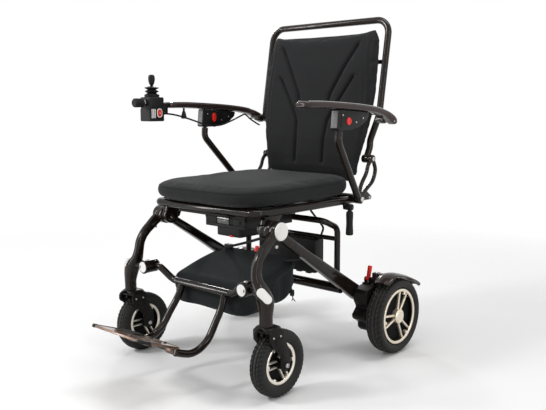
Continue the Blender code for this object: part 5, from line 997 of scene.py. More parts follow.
def motorBrackets():
    y, z = chair["wheelBase"], chair["rearR"]
    outline = ((-0.086, 0.0800), (-0.052, 0.0870), (-0.012, 0.0880), (0.020, 0.0770), (0.044, 0.0500),
               (0.052, 0.0140), (0.042, -0.0260), (0.012, -0.0460), (-0.0285, -0.0459),
               (-0.0530, -0.0440), (-0.0655, -0.0337), (-0.0660, -0.0190), (-0.0900, -0.0045),
               (-0.0961, 0.0059), (-0.0760, 0.0269), (-0.0882, 0.0475), (-0.0886, 0.0700))
    outline = np.array(outline) + (y, z)
    inner, outer = chair["beamX"] + fit, 0.2573
    shapes = [slab(outline, inner, outer, 0.0022, 0.0055)]
    middle = np.array((y - 0.020, z + 0.020))
    # Two shallow steps on the inner face
    for scale, lift in ((0.80, 0.0014), (0.62, 0.0026)):
        ring = middle + (outline - middle) * scale
        shapes.append(slab(ring, inner - lift, inner + 0.004, 0.0008, 0.0055 * scale))
    x, leverY, leverZ = chair["freewheel"]
    shapes.append(block((x - 0.0092, leverY - 0.018, z + 0.078),
                        (x + 0.0092, leverY + 0.018, leverZ - 0.0085), 0.002, 0.003))
    for low, high in ((-0.0092, -0.0060), (0.0060, 0.0092)):
        shapes.append(slab([(leverY - 0.0075, leverZ - 0.010), (leverY + 0.0075, leverZ - 0.010),
                            (leverY + 0.0075, leverZ + 0.0055), (leverY - 0.0075, leverZ + 0.0055)],
                           x + low, x + high, 0.0008, 0.0050))
    shapes.append(spanX(leverY, leverZ, x - 0.0085, x + 0.0085, 0.0025, 0.0004, 20))
    # The bolted lugs that hang at the casting's front
    lugs = ((-0.078, 0.008, 0.0125), (-0.052, -0.032, 0.0110))
    for dy, dz, r in lugs:
        shapes.append(turned([(0, inner + 0.006), (r, inner + 0.006), (r, outer - 0.004),
                              (r * 0.7, outer - 0.0012), (0, outer - 0.0012)], 0.0010,
                             (0, y + dy, z + dz), "x", 40))
    pairOf("motorBracket", shapes, bracketPaint, "chassis", "motor_bracket")
    inside = ((-0.050, 0.060), (-0.010, 0.062), (0.022, 0.036), (0.016, -0.012), (-0.026, -0.020))
    bolts = [boltHead((inner - 0.0024, y + dy, z + dz), "x", 0.0046, 0.0030, -1) for dy, dz in inside]
    bolts += [boltHead((outer - 0.0014, y + dy, z + dz), "x", 0.0042, 0.0024) for dy, dz, r in lugs]
    pairOf("bracketBolts", bolts, steel, "chassis")


# A board swept along an arched line: its section is a shallow arc with a rolled edge
def mudguards():
    y0, z0 = chair["wheelBase"], chair["rearR"]
    line = ((-0.064, 0.1040), (-0.036, 0.1195), (-0.008, 0.1220), (0.031, 0.1130), (0.068, 0.0995),
            (0.099, 0.0850), (0.117, 0.0690))
    spine = smoothRoute([(y0 + a, z0 + b) for a, b in line], 10)
    ahead = unit(np.gradient(spine, axis=0))
    out = np.stack([-ahead[:, 1], ahead[:, 0]], -1) * np.sign(ahead[:, :1] + 1e-9)
    low, high = 0.2613, chair["rearX"] + 0.0245
    share = np.linspace(0, 1, len(spine))
    half = (high - low) / 2 - 0.012 * eased(share, 0.86, 1.0) ** 2 - 0.004 * (1 - eased(share, 0.0, 0.05))
    t = np.linspace(-1, 1, 25)
    bow = -0.005 * t * t - 0.0012 * eased(np.abs(t), 0.90, 1.0)
    groove = -0.0006 * hill(np.abs(t), 0.62, 0.05)
    rings = []
    for across, drop in ((t, bow + groove + 0.0013), (t[::-1], (bow - 0.0013)[::-1])):
        rings.append(np.stack([(low + high) / 2 + half[:, None] * across,
                               spine[:, :1] + out[:, :1] * drop, spine[:, 1:] + out[:, 1:] * drop], -1))
    shapes = [skin(np.concatenate(rings, 1))]
    shapes.append(block((0.2373, y0 - 0.036, z0 + 0.0886), (0.2553, y0 - 0.016, z0 + 0.1205), 0.0015,
                        0.003))
    shapes.append(block((0.2383, y0 - 0.035, z0 + 0.1150), (0.2693, y0 - 0.017, z0 + 0.1200), 0.0010,
                        0.003))
    pairOf("mudguard", shapes, guardPaint, "chassis", "mudguard")
    screws = [boltHead((0.2460, y0 - 0.026, z0 + 0.1198), "z", 0.0036, 0.0022)]
    screws += [boltHead((x, y0 - 0.0250, z0 + 0.1203), "z", 0.0028, 0.0012) for x in (0.2800, 0.2920)]
    pairOf("guardScrews", screws, silver, "chassis")


def freewheelLevers():
    x, y, z = chair["freewheel"]
    eye = eyeRing((0.0026, 0.0064), x - 0.0055, x + 0.0055, 0.0008, y, z, 40)
    rise = np.array((0.001, 0.006, 0.014, 0.022, 0.029, 0.033, 0.0355, 0.0362))
    half = np.array((0.0046, 0.0048, 0.0050, 0.0053, 0.0058, 0.0058, 0.0046, 0.0030))
    path = np.stack([0 * rise + x, y + 0.25 * rise, z + rise], -1)
    bar = sweep(path, 0.0051 * np.minimum(1, half / 0.0046), half, alongY, 4.0, 28)
    ridges = [spanX(y + 0.25 * h - s * 0.0050, z + h, x - 0.0042, x + 0.0042, 0.0007, 0.0003, 12)
              for h in (0.018, 0.0215, 0.025, 0.0285) for s in (-1, 1)]
    pairOf("freewheelLever", [eye, bar, *ridges], red, "freewheel_", "freewheel_lever")


# Seat

def seatFrame():
    x, z, r = chair["railX"], chair["railZ"], chair["railR"]
    y0, y1 = 0.004, 0.432
    corners = [(x, y0, z), (x, y1, z), (-x, y1, z), (-x, y0, z)]
    shapes = [sweep(bentRoute(corners, 0.022, 10, closed=True), r, facing=upZ, count=36, closed=True)]
    py, pz = chair["pivotY"], chair["pivotZ"]
    footY, footZ = chair["strutFoot"][1:]
    leverY, leverZ = chair["foldLever"][1:]
    inner, outer = 0.1754, 0.1934
    lug = [(py + 0.018, pz - 0.0100), (py + 0.029, pz - 0.0050), (py + 0.034, pz + 0.0060),
           (py + 0.040, pz + 0.0220), (py + 0.052, z - 0.006), (py + 0.048, z + 0.004),
           (py - 0.014, z + 0.004), (py - 0.012, z - 0.008), (py - 0.0215, pz)]
    for side in (-1, 1):
        shapes.append(slab(lug, side * (inner + 0.0002), side * (outer - 0.0002), 0.0012, 0.003))
        eye = eyeRing((0.0082, 0.0225), inner, outer, 0.001, py, pz, 56)
        shapes.append(eye if side > 0 else mirrored(eye))
        shapes.append(spanX(footY, footZ, side * 0.190, side * 0.2100, 0.0110, 0.0010, 40))
        shapes.append(spanX(footY, footZ, side * 0.205, side * 0.2316, 0.0048, 0.0006, 24))
    shapes.append(slab([(leverY - 0.011, z), (leverY - 0.008, 0.4105), (leverY, 0.4075),
                        (leverY + 0.008, 0.4105), (leverY + 0.011, z)], x, 0.1972, 0.0008, 0.003))
    shapes.append(spanX(leverY, leverZ, x + 0.003, 0.2150, 0.0042, 0.0005, 24))
    piece("seatFrame", shapes, gloss, "seat", ["seat_frame"])
    ends = [boltHead((side * 0.2314, footY, footZ), "x", 0.0068, 0.0034, side) for side in (-1, 1)]
    piece("strutBolts", ends, silver, "seat")
    # Straps under the cushion, from rail to rail
    t = np.linspace(-1, 1, 41)
    straps = []
    for y in (0.060, 0.150, 0.240, 0.330):
        line = np.stack([t * (x - 0.004), 0 * t + y, z + 0.0088 - 0.0035 * (1 - t * t)], -1)
        straps.append(sweep(line, 0.019, 0.0009, upZ, 6.0, 20))
    piece("seatStraps", straps, webbing, "seat")


def batteryTray():
    half, top = 0.100, 0.4219
    y0, y1 = 0.000, 0.436
    shapes = [block((-half, y0, top - 0.006), (half, y1, top), 0.0014, 0.012)]
    shelf = chair["batteryTop"] - 0.018 - fit
    for side in (-1, 1):
        shapes.append(block((side * 0.0753, 0.084, shelf - 0.005), (side * 0.081, 0.274, top - 0.004),
                            0.0008))
        shapes.append(block((side * 0.0668, 0.085, shelf - 0.0045), (side * 0.0805, 0.273, shelf),
                            0.0006))
        for k in range(4):
            y = 0.020 + k * 0.130
            shapes.append(block((side * 0.088, y - 0.020, top - 0.0072),
                                (side * 0.094, y + 0.020, top - 0.004), 0.0009))
    piece("batteryTray", shapes, bracketPaint, "seat", ["battery_tray"])


def batteryPack():
    x, y0, y1, top = 0.075, 0.080, 0.268, chair["batteryTop"]
    body = [(x, 0.0), (x, 0.018), (x - 0.0085, 0.018), (x - 0.0085, 0.0235), (x, 0.0235), (x, 0.0445),
            (-x, 0.0445), (-x, 0.0235), (-x + 0.0085, 0.0235), (-x + 0.0085, 0.018), (-x, 0.018),
            (-x, 0.0)]
    shapes = [slab([(a, top - b) for a, b in body], y0 + 0.0042, y1, 0.0016, 0.0016, "y")]
    shapes.append(block((-x + 0.030, y0 + 0.012, top - 0.070), (x - 0.030, y1 - 0.012, top - 0.042),
                        0.004, 0.006))
    middle = top - 0.6 * 0.0445
    # The front face is a frame round the pull recess
    for low, high in (((-x, middle + 0.0090), (x, top)), ((-x, top - 0.0445), (x, middle - 0.0090)),
                      ((-x, middle - 0.0095), (-0.031, middle + 0.0095)),
                      ((0.031, middle - 0.0095), (x, middle + 0.0095))):
        shapes.append(block((low[0], y0, low[1]), (high[0], y0 + 0.008, high[1]), 0.0014, 0.0014, "z"))
    shapes.append(block((-0.032, y0 + 0.0025, middle + 0.001), (0.032, y0 + 0.0065, middle + 0.0075),
                        0.0012))
    for k in range(7):
        z = top - 0.046 - k * 0.0032
        shapes.append(block((-x + 0.0292, y0 + 0.020, z - 0.0010), (x - 0.0292, y1 - 0.020, z + 0.0004),
                            0.0004))
    piece("batteryPack", shapes, plastic, "battery", ["battery_pack"])
    lock = turned([(0, -0.0014), (0.0052, -0.0014), (0.0060, 0.0), (0.0060, 0.003), (0, 0.003)], 0.0004,
                  (0.056, y0, middle), "y", 32)
    piece("batteryLock", [lock], grip, "battery")
    # Painted reflection on the pull: a grey sheet stands for its sheen, and a paler steel strip along its
    # top for its highlight
    pullSheen = block((-0.0310, y0 + 0.0012, middle - 0.0088), (0.0130, y0 + 0.0045, middle + 0.0040), 0.0010)
    strip = block((-0.0310, y0 + 0.0008, middle + 0.0048), (0.0130, y0 + 0.0045, middle + 0.0088), 0.0008)
    piece("batteryPullSheen", [pullSheen], greyPlasticAndSheen, "battery")
    piece("batteryPullHighlight", [strip], steel, "battery")
    # A small red tab hangs at the lower step's front edge
    tab = block((0.0070, y0 + 0.0100, top - 0.0700), (0.0190, y0 + 0.0130, top - 0.0650), 0.0006)
    piece("batteryTab", [tab], red, "battery")


def foldLever():
    x, y, z = chair["foldLever"]
    eye = eyeRing((0.0046, 0.0088), x - 0.008, x + 0.008, 0.001, y, z, 40)
    rod = lathe([(0, -0.004), (0.0055, -0.005), (0.0055, -0.016), (0, -0.016)], (x, y, z), "z", 32)

    def flutes(angle, height):
        along = eased(-height, 0.019, 0.024) * (1 - eased(-height, 0.066, 0.071))
        return 1 + 0.035 * np.sin(angle * 10) * along

    line = smoothRoute([(0.0060, -0.0110), (0.0088, -0.0130), (0.0098, -0.0180), (0.0094, -0.0300),
                        (0.0090, -0.0450), (0.0096, -0.0600), (0.0103, -0.0700), (0.0102, -0.0745),
                        (0.0086, -0.0775)], 5)
    profile = np.vstack([[(0, -0.0110)], line, [(0.0, -0.0780)]])
    handle = lathe(profile, (x, y, z), "z", 60, ripple=flutes)
    piece("foldLever", [eye, rod, handle], grip, "fold_lever_body", ["fold_lever"])


def backBrackets():
    y, z = chair["hingeY"], chair["hingeZ"]
    railZ = chair["railZ"]
    x, foot = 0.2028, 0.2045
    front = [(foot, y - 0.066, railZ + 0.004), (x, y - 0.049, railZ + 0.041), (x, y - 0.027, z - 0.040),
             (x, y - 0.0185, z - 0.019), (x, y - 0.008, z - 0.006), (x, y, z - 0.001)]
    rear = [(foot, y - 0.060, railZ), (x, y - 0.025, railZ + 0.026), (x, y + 0.005, railZ + 0.047),
            (x, y + 0.0175, z - 0.035), (x, y + 0.0120, z - 0.014), (x, y + 0.003, z - 0.002)]
    shapes = [sweep(smoothRoute(route, 8), 0.0056, facing=acrossX, count=28) for route in (front, rear)]
    shapes.append(spanX(y, z, 0.1941, x + 0.0052, 0.0115, 0.0012, 48))
    shapes.append(spanX(y, z, 0.1752, x, 0.0042, 0.0005, 24))
    shapes.append(block((0.1991, y - 0.0735, railZ - 0.0035), (x + 0.0062, y - 0.008, railZ + 0.0085),
                        0.0016, 0.004, "x"))
    shapes.append(slab([(y - 0.0730, railZ - 0.0030), (y - 0.0080, railZ - 0.0030),
                        (y - 0.0030, railZ + 0.0040), (y - 0.0300, railZ + 0.0230),
                        (y - 0.0640, railZ + 0.0200)], x - 0.0020, x + 0.0050, 0.0012, 0.004))
    pairOf("backBracket", shapes, gloss, "seat", "back_bracket")
    bolts = [boltHead((x + 0.0060, y - 0.062, railZ + 0.0025), "x", 0.0036, 0.0024),
             boltHead((x + 0.0060, y - 0.018, railZ + 0.0025), "x", 0.0036, 0.0024),
             boltHead((x + 0.0050, y, z), "x", 0.0056, 0.0030)]
    pairOf("backBracketBolts", bolts, silver, "seat")


# Back and arms

def backFrame():
    y, z, low, wide, r = chair["hingeY"], chair["hingeZ"], 0.184, 0.2185, chair["tubeR"]
    half = [(low, y, z), (low, y + 0.0165, z + 0.032), (low, y + 0.0175, z + 0.052),
            (wide, y + 0.0105, z + 0.125), (wide, 0.5174, chair["backTop"])]
    points = half + [(-a, b, c) for a, b, c in reversed(half)]
    path = bentRoute(points, [0, 0.028, 0.036, 0.055, 0.042, 0.042, 0.055, 0.036, 0.028, 0], 12)
    shapes = [sweep(path, r, facing=alongY, count=40, rim=0.001)]
    armY, armZ = chair["armPivotY"], chair["armPivotZ"]
    for side in (-1, 1):
        eye = eyeRing((0.0046, 0.0118), 0.1742, 0.1938, 0.001, y, z, 48)
        shapes.append(eye if side > 0 else mirrored(eye))
        shapes.append(spanX(armY, armZ, side * 0.2105, side * 0.2287, 0.0120, 0.0010, 40))
        shapes.append(spanX(armY, armZ, side * 0.2145, side * 0.2650, 0.0048, 0.0006, 24))
    for bar, height in crossBars():
        shapes.append(spanX(bar, height, -0.2175, 0.2175, 0.0060, 0.0008, 28))
    piece("backFrame", shapes, gloss, "back", ["back_frame"])


# The back's middle plane leans: its Y at each height
def backPlane(z):
    shares = (0.0, 0.089, 0.219, 0.376, 0.533, 0.742, 0.906, 1.0)
    places = (0.4365, 0.4385, 0.4440, 0.4580, 0.4690, 0.4820, 0.4960, 0.5020)
    return np.interp(backShare(z), shares, places)


# Counts heights on the back pad from 0 at the foot to 1 at the top
def backShare(z):
    return (z - chair["padBase"]) / chair["padTall"]


# The two bars across the back, each clear of the pad's rear: (Y, Z)
def crossBars():
    behind = chair["padThick"] * 0.75 + 0.0073
    heights = chair["hingeZ"] + 0.129, chair["backTop"] - 0.1175
    return [(backPlane(z) + behind, z) for z in heights]


armLine = {
    "tip": 0.094, "wide": 0.044, "thick": 0.019, "squareness": 3.0,
    "line": ((0.0000, 0.6950, 0.70, 0.55), (0.0040, 0.6952, 0.90, 0.85), (0.0180, 0.6955, 1.00, 1.00),
             (0.0660, 0.6955, 1.00, 1.00), (0.1460, 0.6925, 0.97, 1.00), (0.2260, 0.6880, 0.93, 1.00),
             (0.2960, 0.6815, 0.86, 1.00), (0.3410, 0.6735, 0.78, 1.05), (0.3700, 0.6635, 0.77, 1.15),
             (0.3880, 0.6535, 0.77, 1.10), (0.3960, 0.6460, 0.66, 0.75)),
}


def armrests(options=armLine):
    rows = smoothRoute(options["line"], 9)
    path = np.stack([0 * rows[:, 0] + chair["armX"], rows[:, 0] + options["tip"], rows[:, 1]], -1)
    ahead = unit(np.gradient(path, axis=0))
    up = np.stack([0 * rows[:, 0], -ahead[:, 2], ahead[:, 1]], -1)
    a, b = roundSection(options["squareness"], 44)
    # The top is a little flatter than the underside
    tall = np.where(b > 0, 0.94 * b, b)
    rings = (path[:, None] + acrossX * (rows[:, 2:3] * options["wide"] / 2 * a)[..., None]
             + up[:, None] * (rows[:, 3:4] * options["thick"] / 2 * tall)[..., None])
    pairOf("armrest", [skin(rings)], guardPaint, "arm_", "armrest")
    # A thin bright steel band along each upper edge is a painted highlight
    edgeHighlights = []
    k = (rows[:, 0] > 0.010) & (rows[:, 0] < 0.330)
    for side in (-1, 1):
        edge = path[k] + acrossX * side * (rows[k, 2:3] * options["wide"] / 2 * 0.80) + up[k] * 0.0078
        edgeHighlights.append(sweep(edge, 0.0009, facing=acrossX, count=12, rim=0.0003))
    pairOf("armEdgeHighlight", edgeHighlights, steel, "arm_")


def armHinges():
    y, z, x = chair["armPivotY"], chair["armPivotZ"], 0.2290
    outline = [(y + 0.0135, z + 0.002), (y + 0.008, z + 0.0115), (y - 0.004, z + 0.013),
               (y - 0.014, z + 0.007), (y - 0.036, z + 0.0055), (y - 0.042, z - 0.001),
               (y - 0.037, z - 0.0075), (y - 0.012, z - 0.012), (y + 0.006, z - 0.012)]
    pin = spanX(y - 0.036, 0.6557, x + 0.002, 0.2500, 0.0042)
    shapes = [slab(outline, x, x + 0.0055, 0.0009, 0.0035), pin]
    pairOf("armHinge", shapes, dullSteel, "arm_stop_", "arm_hinge")
    pairOf("armPivotBolt", [boltHead((0.2648, y, z), "x", 0.0066, 0.0034)], silver, "back")


def latches():
    x0, x1, y, low = chair["latchInner"], chair["latchOuter"], chair["strutTopY"], chair["latchLow"]
    places = np.array([v[0] + armLine["tip"] for v in armLine["line"]])
    lows = np.array([v[1] - armLine["thick"] * v[3] / 2 for v in armLine["line"]])
    outline = [(y - 0.0200, low + 0.002), (y - 0.012, low), (y + 0.030, low), (y + 0.069, low + 0.0064),
               (y + 0.0960, low + 0.0180), (y + 0.1135, low + 0.0305)]
    outline += [(a, float(np.interp(a, places, lows)) - fit) for a in (y + 0.1180, 0.320, y - 0.0150)]
    shapes = [slab(outline, x0, x1, 0.0018, 0.004)]
    inner = [(0.298 + (a - 0.298) * 0.84, 0.6545 + (b - 0.6545) * 0.70) for a, b in outline]
    shapes.append(slab(inner, x0 - 0.0010, x0 + 0.002, 0.0006, 0.003))
    shapes.append(slab(inner, x1 - 0.002, x1 + 0.0010, 0.0006, 0.003))
    shapes.append(turned([(0.0062, low - 0.0004), (0.0108, low - 0.0004), (0.0112, low + 0.006),
                          (0.0062, low + 0.006)], 0.0006, (chair["armX"], y, 0), "z", 48, closed=True))
    pairOf("armLatch", shapes, plastic, "arm_", "arm_latch")
    middle = (x0 + x1) / 2
    line = [(middle, y - 0.0203, low + 0.0060), (middle, y - 0.0190, low + 0.0200),
            (middle, y - 0.0158, low + 0.0500)]
    pairOf("latchFace", [sweep(smoothRoute(line, 6), 0.0100, 0.0011, facing=alongY, power=6.0, count=24,
                               rim=0.0004)], greyPlasticAndSheen, "arm_")
    spots = ((0.2420, 0.6690), (0.3000, 0.6500), (0.3300, 0.6600))
    screws = [boltHead((x0 - 0.0010, a, b), "x", 0.0024, 0.0014, -1) for a, b in spots]
    screws += [boltHead((x1 + 0.0010, a, b), "x", 0.0024, 0.0014) for a, b in spots]
    pairOf("latchScrews", screws, steel, "arm_")


def releaseButtons():
    x0, x1, y, z, r = chair["latchInner"], chair["latchOuter"], 0.2683, 0.6534, 0.0098
    head = lathe(softProfile([(0, x1 + 0.0024), (0.0050, x1 + 0.0030), (r - 0.0016, x1 + 0.0035),
                              (r, x1 + 0.0018), (r, x0 - 0.001), (0, x0 - 0.001)],
                             [0, 0.003, 0.0010, 0.0006, 0.0003, 0], 4), (0, y, z), "x", 56)
    # The thumb pad on the inner side: how far it stands out, half its width, how much it's drawn in
    a, b = (part[0] for part in roundSection(2.6, 40))
    pad = ((0.0003, 0.0078, 0.0), (0.0026, 0.0078, 0.0), (0.0034, 0.0072, 0.0006),
           (0.0040, 0.0060, 0.0018), (0.0043, 0.0030, 0.0060))
    rings = [np.stack([0 * a + x0 - out, y + half * a, z + 0.005 + (0.0135 - inset) * b], -1)
             for out, half, inset in pad]
    pairOf("releaseButton", [head, skin(rings)], red, "release_", "release_button")


def armStruts():
    x, y, z = chair["strutFoot"]
    topY, low = chair["strutTopY"], chair["latchLow"]
    top = low - 0.0026
    armX = chair["armX"]
    path = bentRoute([(x, y, z), (armX, topY - 0.002, low - 0.030), (armX, topY, top)], [0, 0.032, 0], 14)
    straight = np.linspace(path[0], path[1], 12)[:-1]
    path = np.vstack([straight, path[1:]])
    shapes = [sweep(path, chair["tubeR"], facing=acrossX, count=40, rim=0.001)]
    shapes.append(eyeRing((0.0053, 0.0125), x - 0.009, x + 0.0095, 0.001, y, z, 56))
    shapes.append(lathe([(0, -0.006), (0.0058, -0.006), (0.0056, 0.006), (0.0048, 0.024), (0.0038, 0.026),
                         (0, 0.026)], (armX, topY, top), "z", 32))
    pairOf("armStrut", shapes, gloss, "strut_", "arm_strut")


# Joystick

# The controller's case: its middle, its top, its height and half its side
case = {"x": -chair["armX"], "y": 0.045, "top": 0.717, "tall": 0.067, "half": 0.025}
buttonAt = np.array((case["x"] + case["half"], case["y"] + 0.006, case["top"] - 0.044))


def controllerCase():
    x, y, top, half = case["x"], case["y"], case["top"], case["half"]
    low = top - case["tall"]
    # Upper shell, a fine gap, lower shell, and the foot to the arm's tip
    shapes = [block((x - half, y - half, top - 0.030), (x + half, y + half, top), 0.0042, 0.007),
              block((x - half + 0.0012, y - half + 0.0012, top - 0.036),
                    (x + half - 0.0012, y + half - 0.0012, top - 0.026), 0.0008, 0.006),
              block((x - half, y - half, low), (x + half, y + half, top - 0.0308), 0.0036, 0.006),
              block((x - 0.012, y + half - 0.004, 0.6685), (x + 0.012, 0.0937, 0.7010), 0.0020, 0.004)]
    shapes.append(turned([(0.0125, top - 0.002), (0.0218, top - 0.002), (0.0218, top + 0.0008),
                          (0.0160, top + 0.0012), (0.0125, top + 0.0012)], 0.0004, (x, y, 0), "z", 56,
                         closed=True))
    piece("controllerCase", shapes, plastic, "arm_right", ["controller_case"])


# Plain white bars beside the power button, and the oval bezel and red field round it
def caseMarks():
    y, top = case["y"], case["top"]
    inner = case["x"] + case["half"]
    marks = []
    for a, wide in ((-0.0215, 0.0026), (-0.0165, 0.0040), (-0.0105, 0.0026)):
        marks.append(block((inner - 0.0006, y + a, top - 0.058),
                           (inner + 0.0006, y + a + wide, top - 0.033), 0.0003, 0.0006, "x"))
    outer = softRectangle(0.0092, 0.0125, 0.0088, 8)
    hole = softRectangle(0.0070, 0.0100, 0.0068, 8)
    bore = softRectangle(0.0065, 0.0065, 0.00649, 8)
    bezel = ((outer, -0.0010), (outer, 0.0008), (outer * 0.95, 0.0014), (hole, 0.0014), (hole, -0.0010))
    field = ((hole * 0.99, -0.0010), (hole * 0.99, 0.0004), (bore, 0.0004), (bore, -0.0010))
    bezel, field = (skin([buttonAt + laid(flat, lift, "x") for flat, lift in rows], closed=True)
                    for rows in (bezel, field))
    piece("caseMarks", [*marks, bezel], cream, "arm_right")
    piece("rockerField", [field], red, "arm_right")


def caseScrews():
    x, y, top = case["x"], case["y"], case["top"]
    screws = [boltHead((x + sx * 0.018, y + 0.0250, top - 0.008 - sz * 0.050), "y", 0.0022, 0.0012)
              for sx in (-1, 1) for sz in (0, 1)]
    piece("caseScrews", screws, steel, "arm_right")


def clampKnob():
    x, cy, cz = case["x"], case["y"] - case["half"] - fit, case["top"] - 0.016

    def ridges(angle, height):
        along = eased(-height, 0.0100, 0.0125) * (1 - eased(-height, 0.0320, 0.0345))
        return 1 - 0.06 * np.sin(angle * 18) ** 2 * along

    profile = softProfile([(0, 0.0105), (0.0038, 0.0105), (0.0038, 0.0), (0.0095, 0.0), (0.0095, -0.006),
                           (0.0120, -0.008), (0.0125, -0.034), (0.0105, -0.037), (0, -0.037)],
                          [0, 0.0004, 0.0004, 0.0008, 0.0008, 0.0012, 0.0012, 0.0012, 0], 3)
    spans = [np.linspace(p, q, 4)[:-1] for p, q in zip(profile[:-1], profile[1:])]
    line = np.vstack(spans + [profile[-1:]])
    piece("clampKnob", [lathe(line, (x, cy, cz), "y", 144, ripple=ridges)], grip, "clamp", ["clamp_knob"])
    # A steel band near the case is a painted highlight: it stands for a white strip on the glossy knob
    highlightBand = turned([(0.0096, -0.0035), (0.0096, -0.0060), (0.0080, -0.0060), (0.0080, -0.0035)], 0.0003,
                  (x, cy, cz), "y", 48, closed=True)
    piece("clampHighlightBand", [highlightBand], steel, "clamp")


def joystick():
    x, y, top = case["x"], case["y"], case["top"]
    stickZ = top - 0.008
    # A pear-shaped knob whose waist meets the boot
    line = smoothRoute([(0.0033, 0.0063), (0.0033, 0.030), (0.0034, 0.036), (0.0042, 0.0405),
                        (0.0068, 0.0450), (0.0088, 0.0520), (0.0094, 0.0570), (0.0092, 0.0620),
                        (0.0080, 0.0670), (0.0052, 0.0696)], 6)
    knob = lathe(np.vstack([[(0, 0.0063)], line, [(0, 0.0700)]]), (x, y, stickZ), "z", 56)
    piece("joystickKnob", [knob], plastic, "stick", ["joystick_knob"])
    dimple = lathe([(0.0030, 0.0682), (0.0040, 0.0703), (0.0050, 0.0697), (0.0054, 0.0682)],
                   (x, y, stickZ), "z", 40, closed=True)
    piece("knobRing", [dimple], steel, "stick")
    base = top + fit
    # The bellows are two rings, a lower and an upper one
    lower = [(0.0200, 0.0000), (0.0210, 0.0050), (0.0200, 0.0066), (0.0128, 0.0105), (0.0128, 0.0112)]
    upper = [(0.0128, 0.0112), (0.0188, 0.0146), (0.0194, 0.0156), (0.0188, 0.0166), (0.0124, 0.0198),
             (0.0124, 0.0208), (0.0196, 0.0242), (0.0208, 0.0252), (0.0190, 0.0264), (0.0090, 0.0292),
             (0.0058, 0.0300)]
    insideLower = [(0.0114, 0.0112), (0.0160, 0.0050), (0.0165, 0.0)]
    insideUpper = [(0.0050, 0.0282), (0.0080, 0.0272), (0.0108, 0.0208), (0.0114, 0.0112)]
    for name, out, back, bodies, span, node in (
            ("bootFoot", lower, insideLower, ("arm_right", "gimbal"), (0.0040, 0.0112), None),
            ("joystickBoot", upper, insideUpper, ("gimbal", "stick"), (0.0112, 0.0290), "joystick_boot")):
        profile = np.vstack([smoothRoute(out, 6), back])
        item = piece(name, [lathe(profile, (x, y, base), "z", 64, closed=True)], boot, None,
                     [node] if node else ())
        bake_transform(item)


def powerButton():
    px, py, pz = buttonAt
    button = turned([(0, px + 0.0018), (0.0045, px + 0.0020), (0.0062, px + 0.0022),
                     (0.0062, px - 0.0055), (0, px - 0.0055)], 0.0006, (0, py, pz), "x", 48)
    piece("powerButton", [button], red, "power", ["power_button"])
    mark = block((px + 0.0016, py - 0.0006, pz - 0.0032), (px + 0.0024, py + 0.0006, pz + 0.0032), 0.0002,
                 0.0004, "x")
    piece("powerMark", [mark], cream, "power")


# Soft goods

# Blows a pad up from a slightly smaller closed shape with Blender's cloth, caps how far a point
# moves, and stretches the result to the box that the frame holds for it
def blownUp(item, box, options):
    wanted = item.data
    remesh = item.modifiers.new("evenMesh", "REMESH")
    remesh.mode, remesh.voxel_size = "VOXEL", options["voxel"]
    item.data = evaluated(item)
    item.modifiers.clear()
    before = spotsOf(item.data)
    cloth = item.modifiers.new("swelling", "CLOTH")
    cloth.settings.use_pressure = True
    cloth.settings.uniform_pressure_force = options["pressure"]
    cloth.settings.effector_weights.gravity = 0
    cloth.settings.quality = 5
    cloth.settings.bending_stiffness = options["bending"]
    cloth.point_cache.frame_start, cloth.point_cache.frame_end = 1, 20
    scene = bpy.context.scene
    for step in range(1, 21):
        scene.frame_set(step)
        bpy.context.view_layer.update()
    after = spotsOf(evaluated(item))
    item.modifiers.clear()
    scene.frame_set(1)
    move = after - before
    far = np.linalg.norm(move, axis=1, keepdims=True)
    after = before + move * np.minimum(1, options["most"] / np.maximum(far, 1e-9))
    low, high = after.min(0), after.max(0)
    after = (after - low) / (high - low) * (box[1] - box[0]) + box[0]
    setSpots(item.data, after)
    print(item.name, "blown up,", len(after), "points")
    finer = item.modifiers.new("finer", "SUBSURF")
    finer.levels = finer.render_levels = 1
    item.data = evaluated(item)
    item.modifiers.clear()
    if wanted.users == 0:
        bpy.data.meshes.remove(wanted)


def evaluated(item):
    bpy.context.view_layer.update()
    return bpy.data.meshes.new_from_object(item.evaluated_get(bpy.context.evaluated_depsgraph_get()))


def spotsOf(mesh):
    spots = np.zeros(len(mesh.vertices) * 3, np.float32)
    mesh.vertices.foreach_get("co", spots)
    return spots.reshape(-1, 3).astype(float)


def setSpots(mesh, spots):
    mesh.vertices.foreach_set("co", np.asarray(spots, np.float32).ravel())
    mesh.update()


# Gives a pad its final points, its cloth, its body and the CAD solid that it stands for
def finishPad(item, spots, finish, body, node):
    setSpots(item.data, spots)
    item.data.materials.clear()
    item.data.materials.append(finish)
    item.data.shade_smooth()
    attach(item, body)
    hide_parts(node)


# A few slow waves added up, for the unevenness of a stuffed cover
def waves(spots, scale, seed):
    total = np.zeros(len(spots))
    for k in range(5):
        turn = seed * 1.7 + k * 2.399
        way = np.array((math.cos(turn), math.sin(turn), math.cos(turn * 1.3) * 0.8))
        total += np.sin(spots @ way * fullTurn / (scale * (1 + 0.35 * k)) + turn * 3) / (1 + 0.6 * k)
    return total / 2.4


seatPad = {"halfX": 0.206, "front": -0.038, "rear": 0.414, "base": 0.4441, "rearThick": 0.0625,
           "frontThick": 0.0520, "voxel": 0.0050, "pressure": 4.0, "bending": 0.5, "most": 0.006,
           "start": 0.0030}


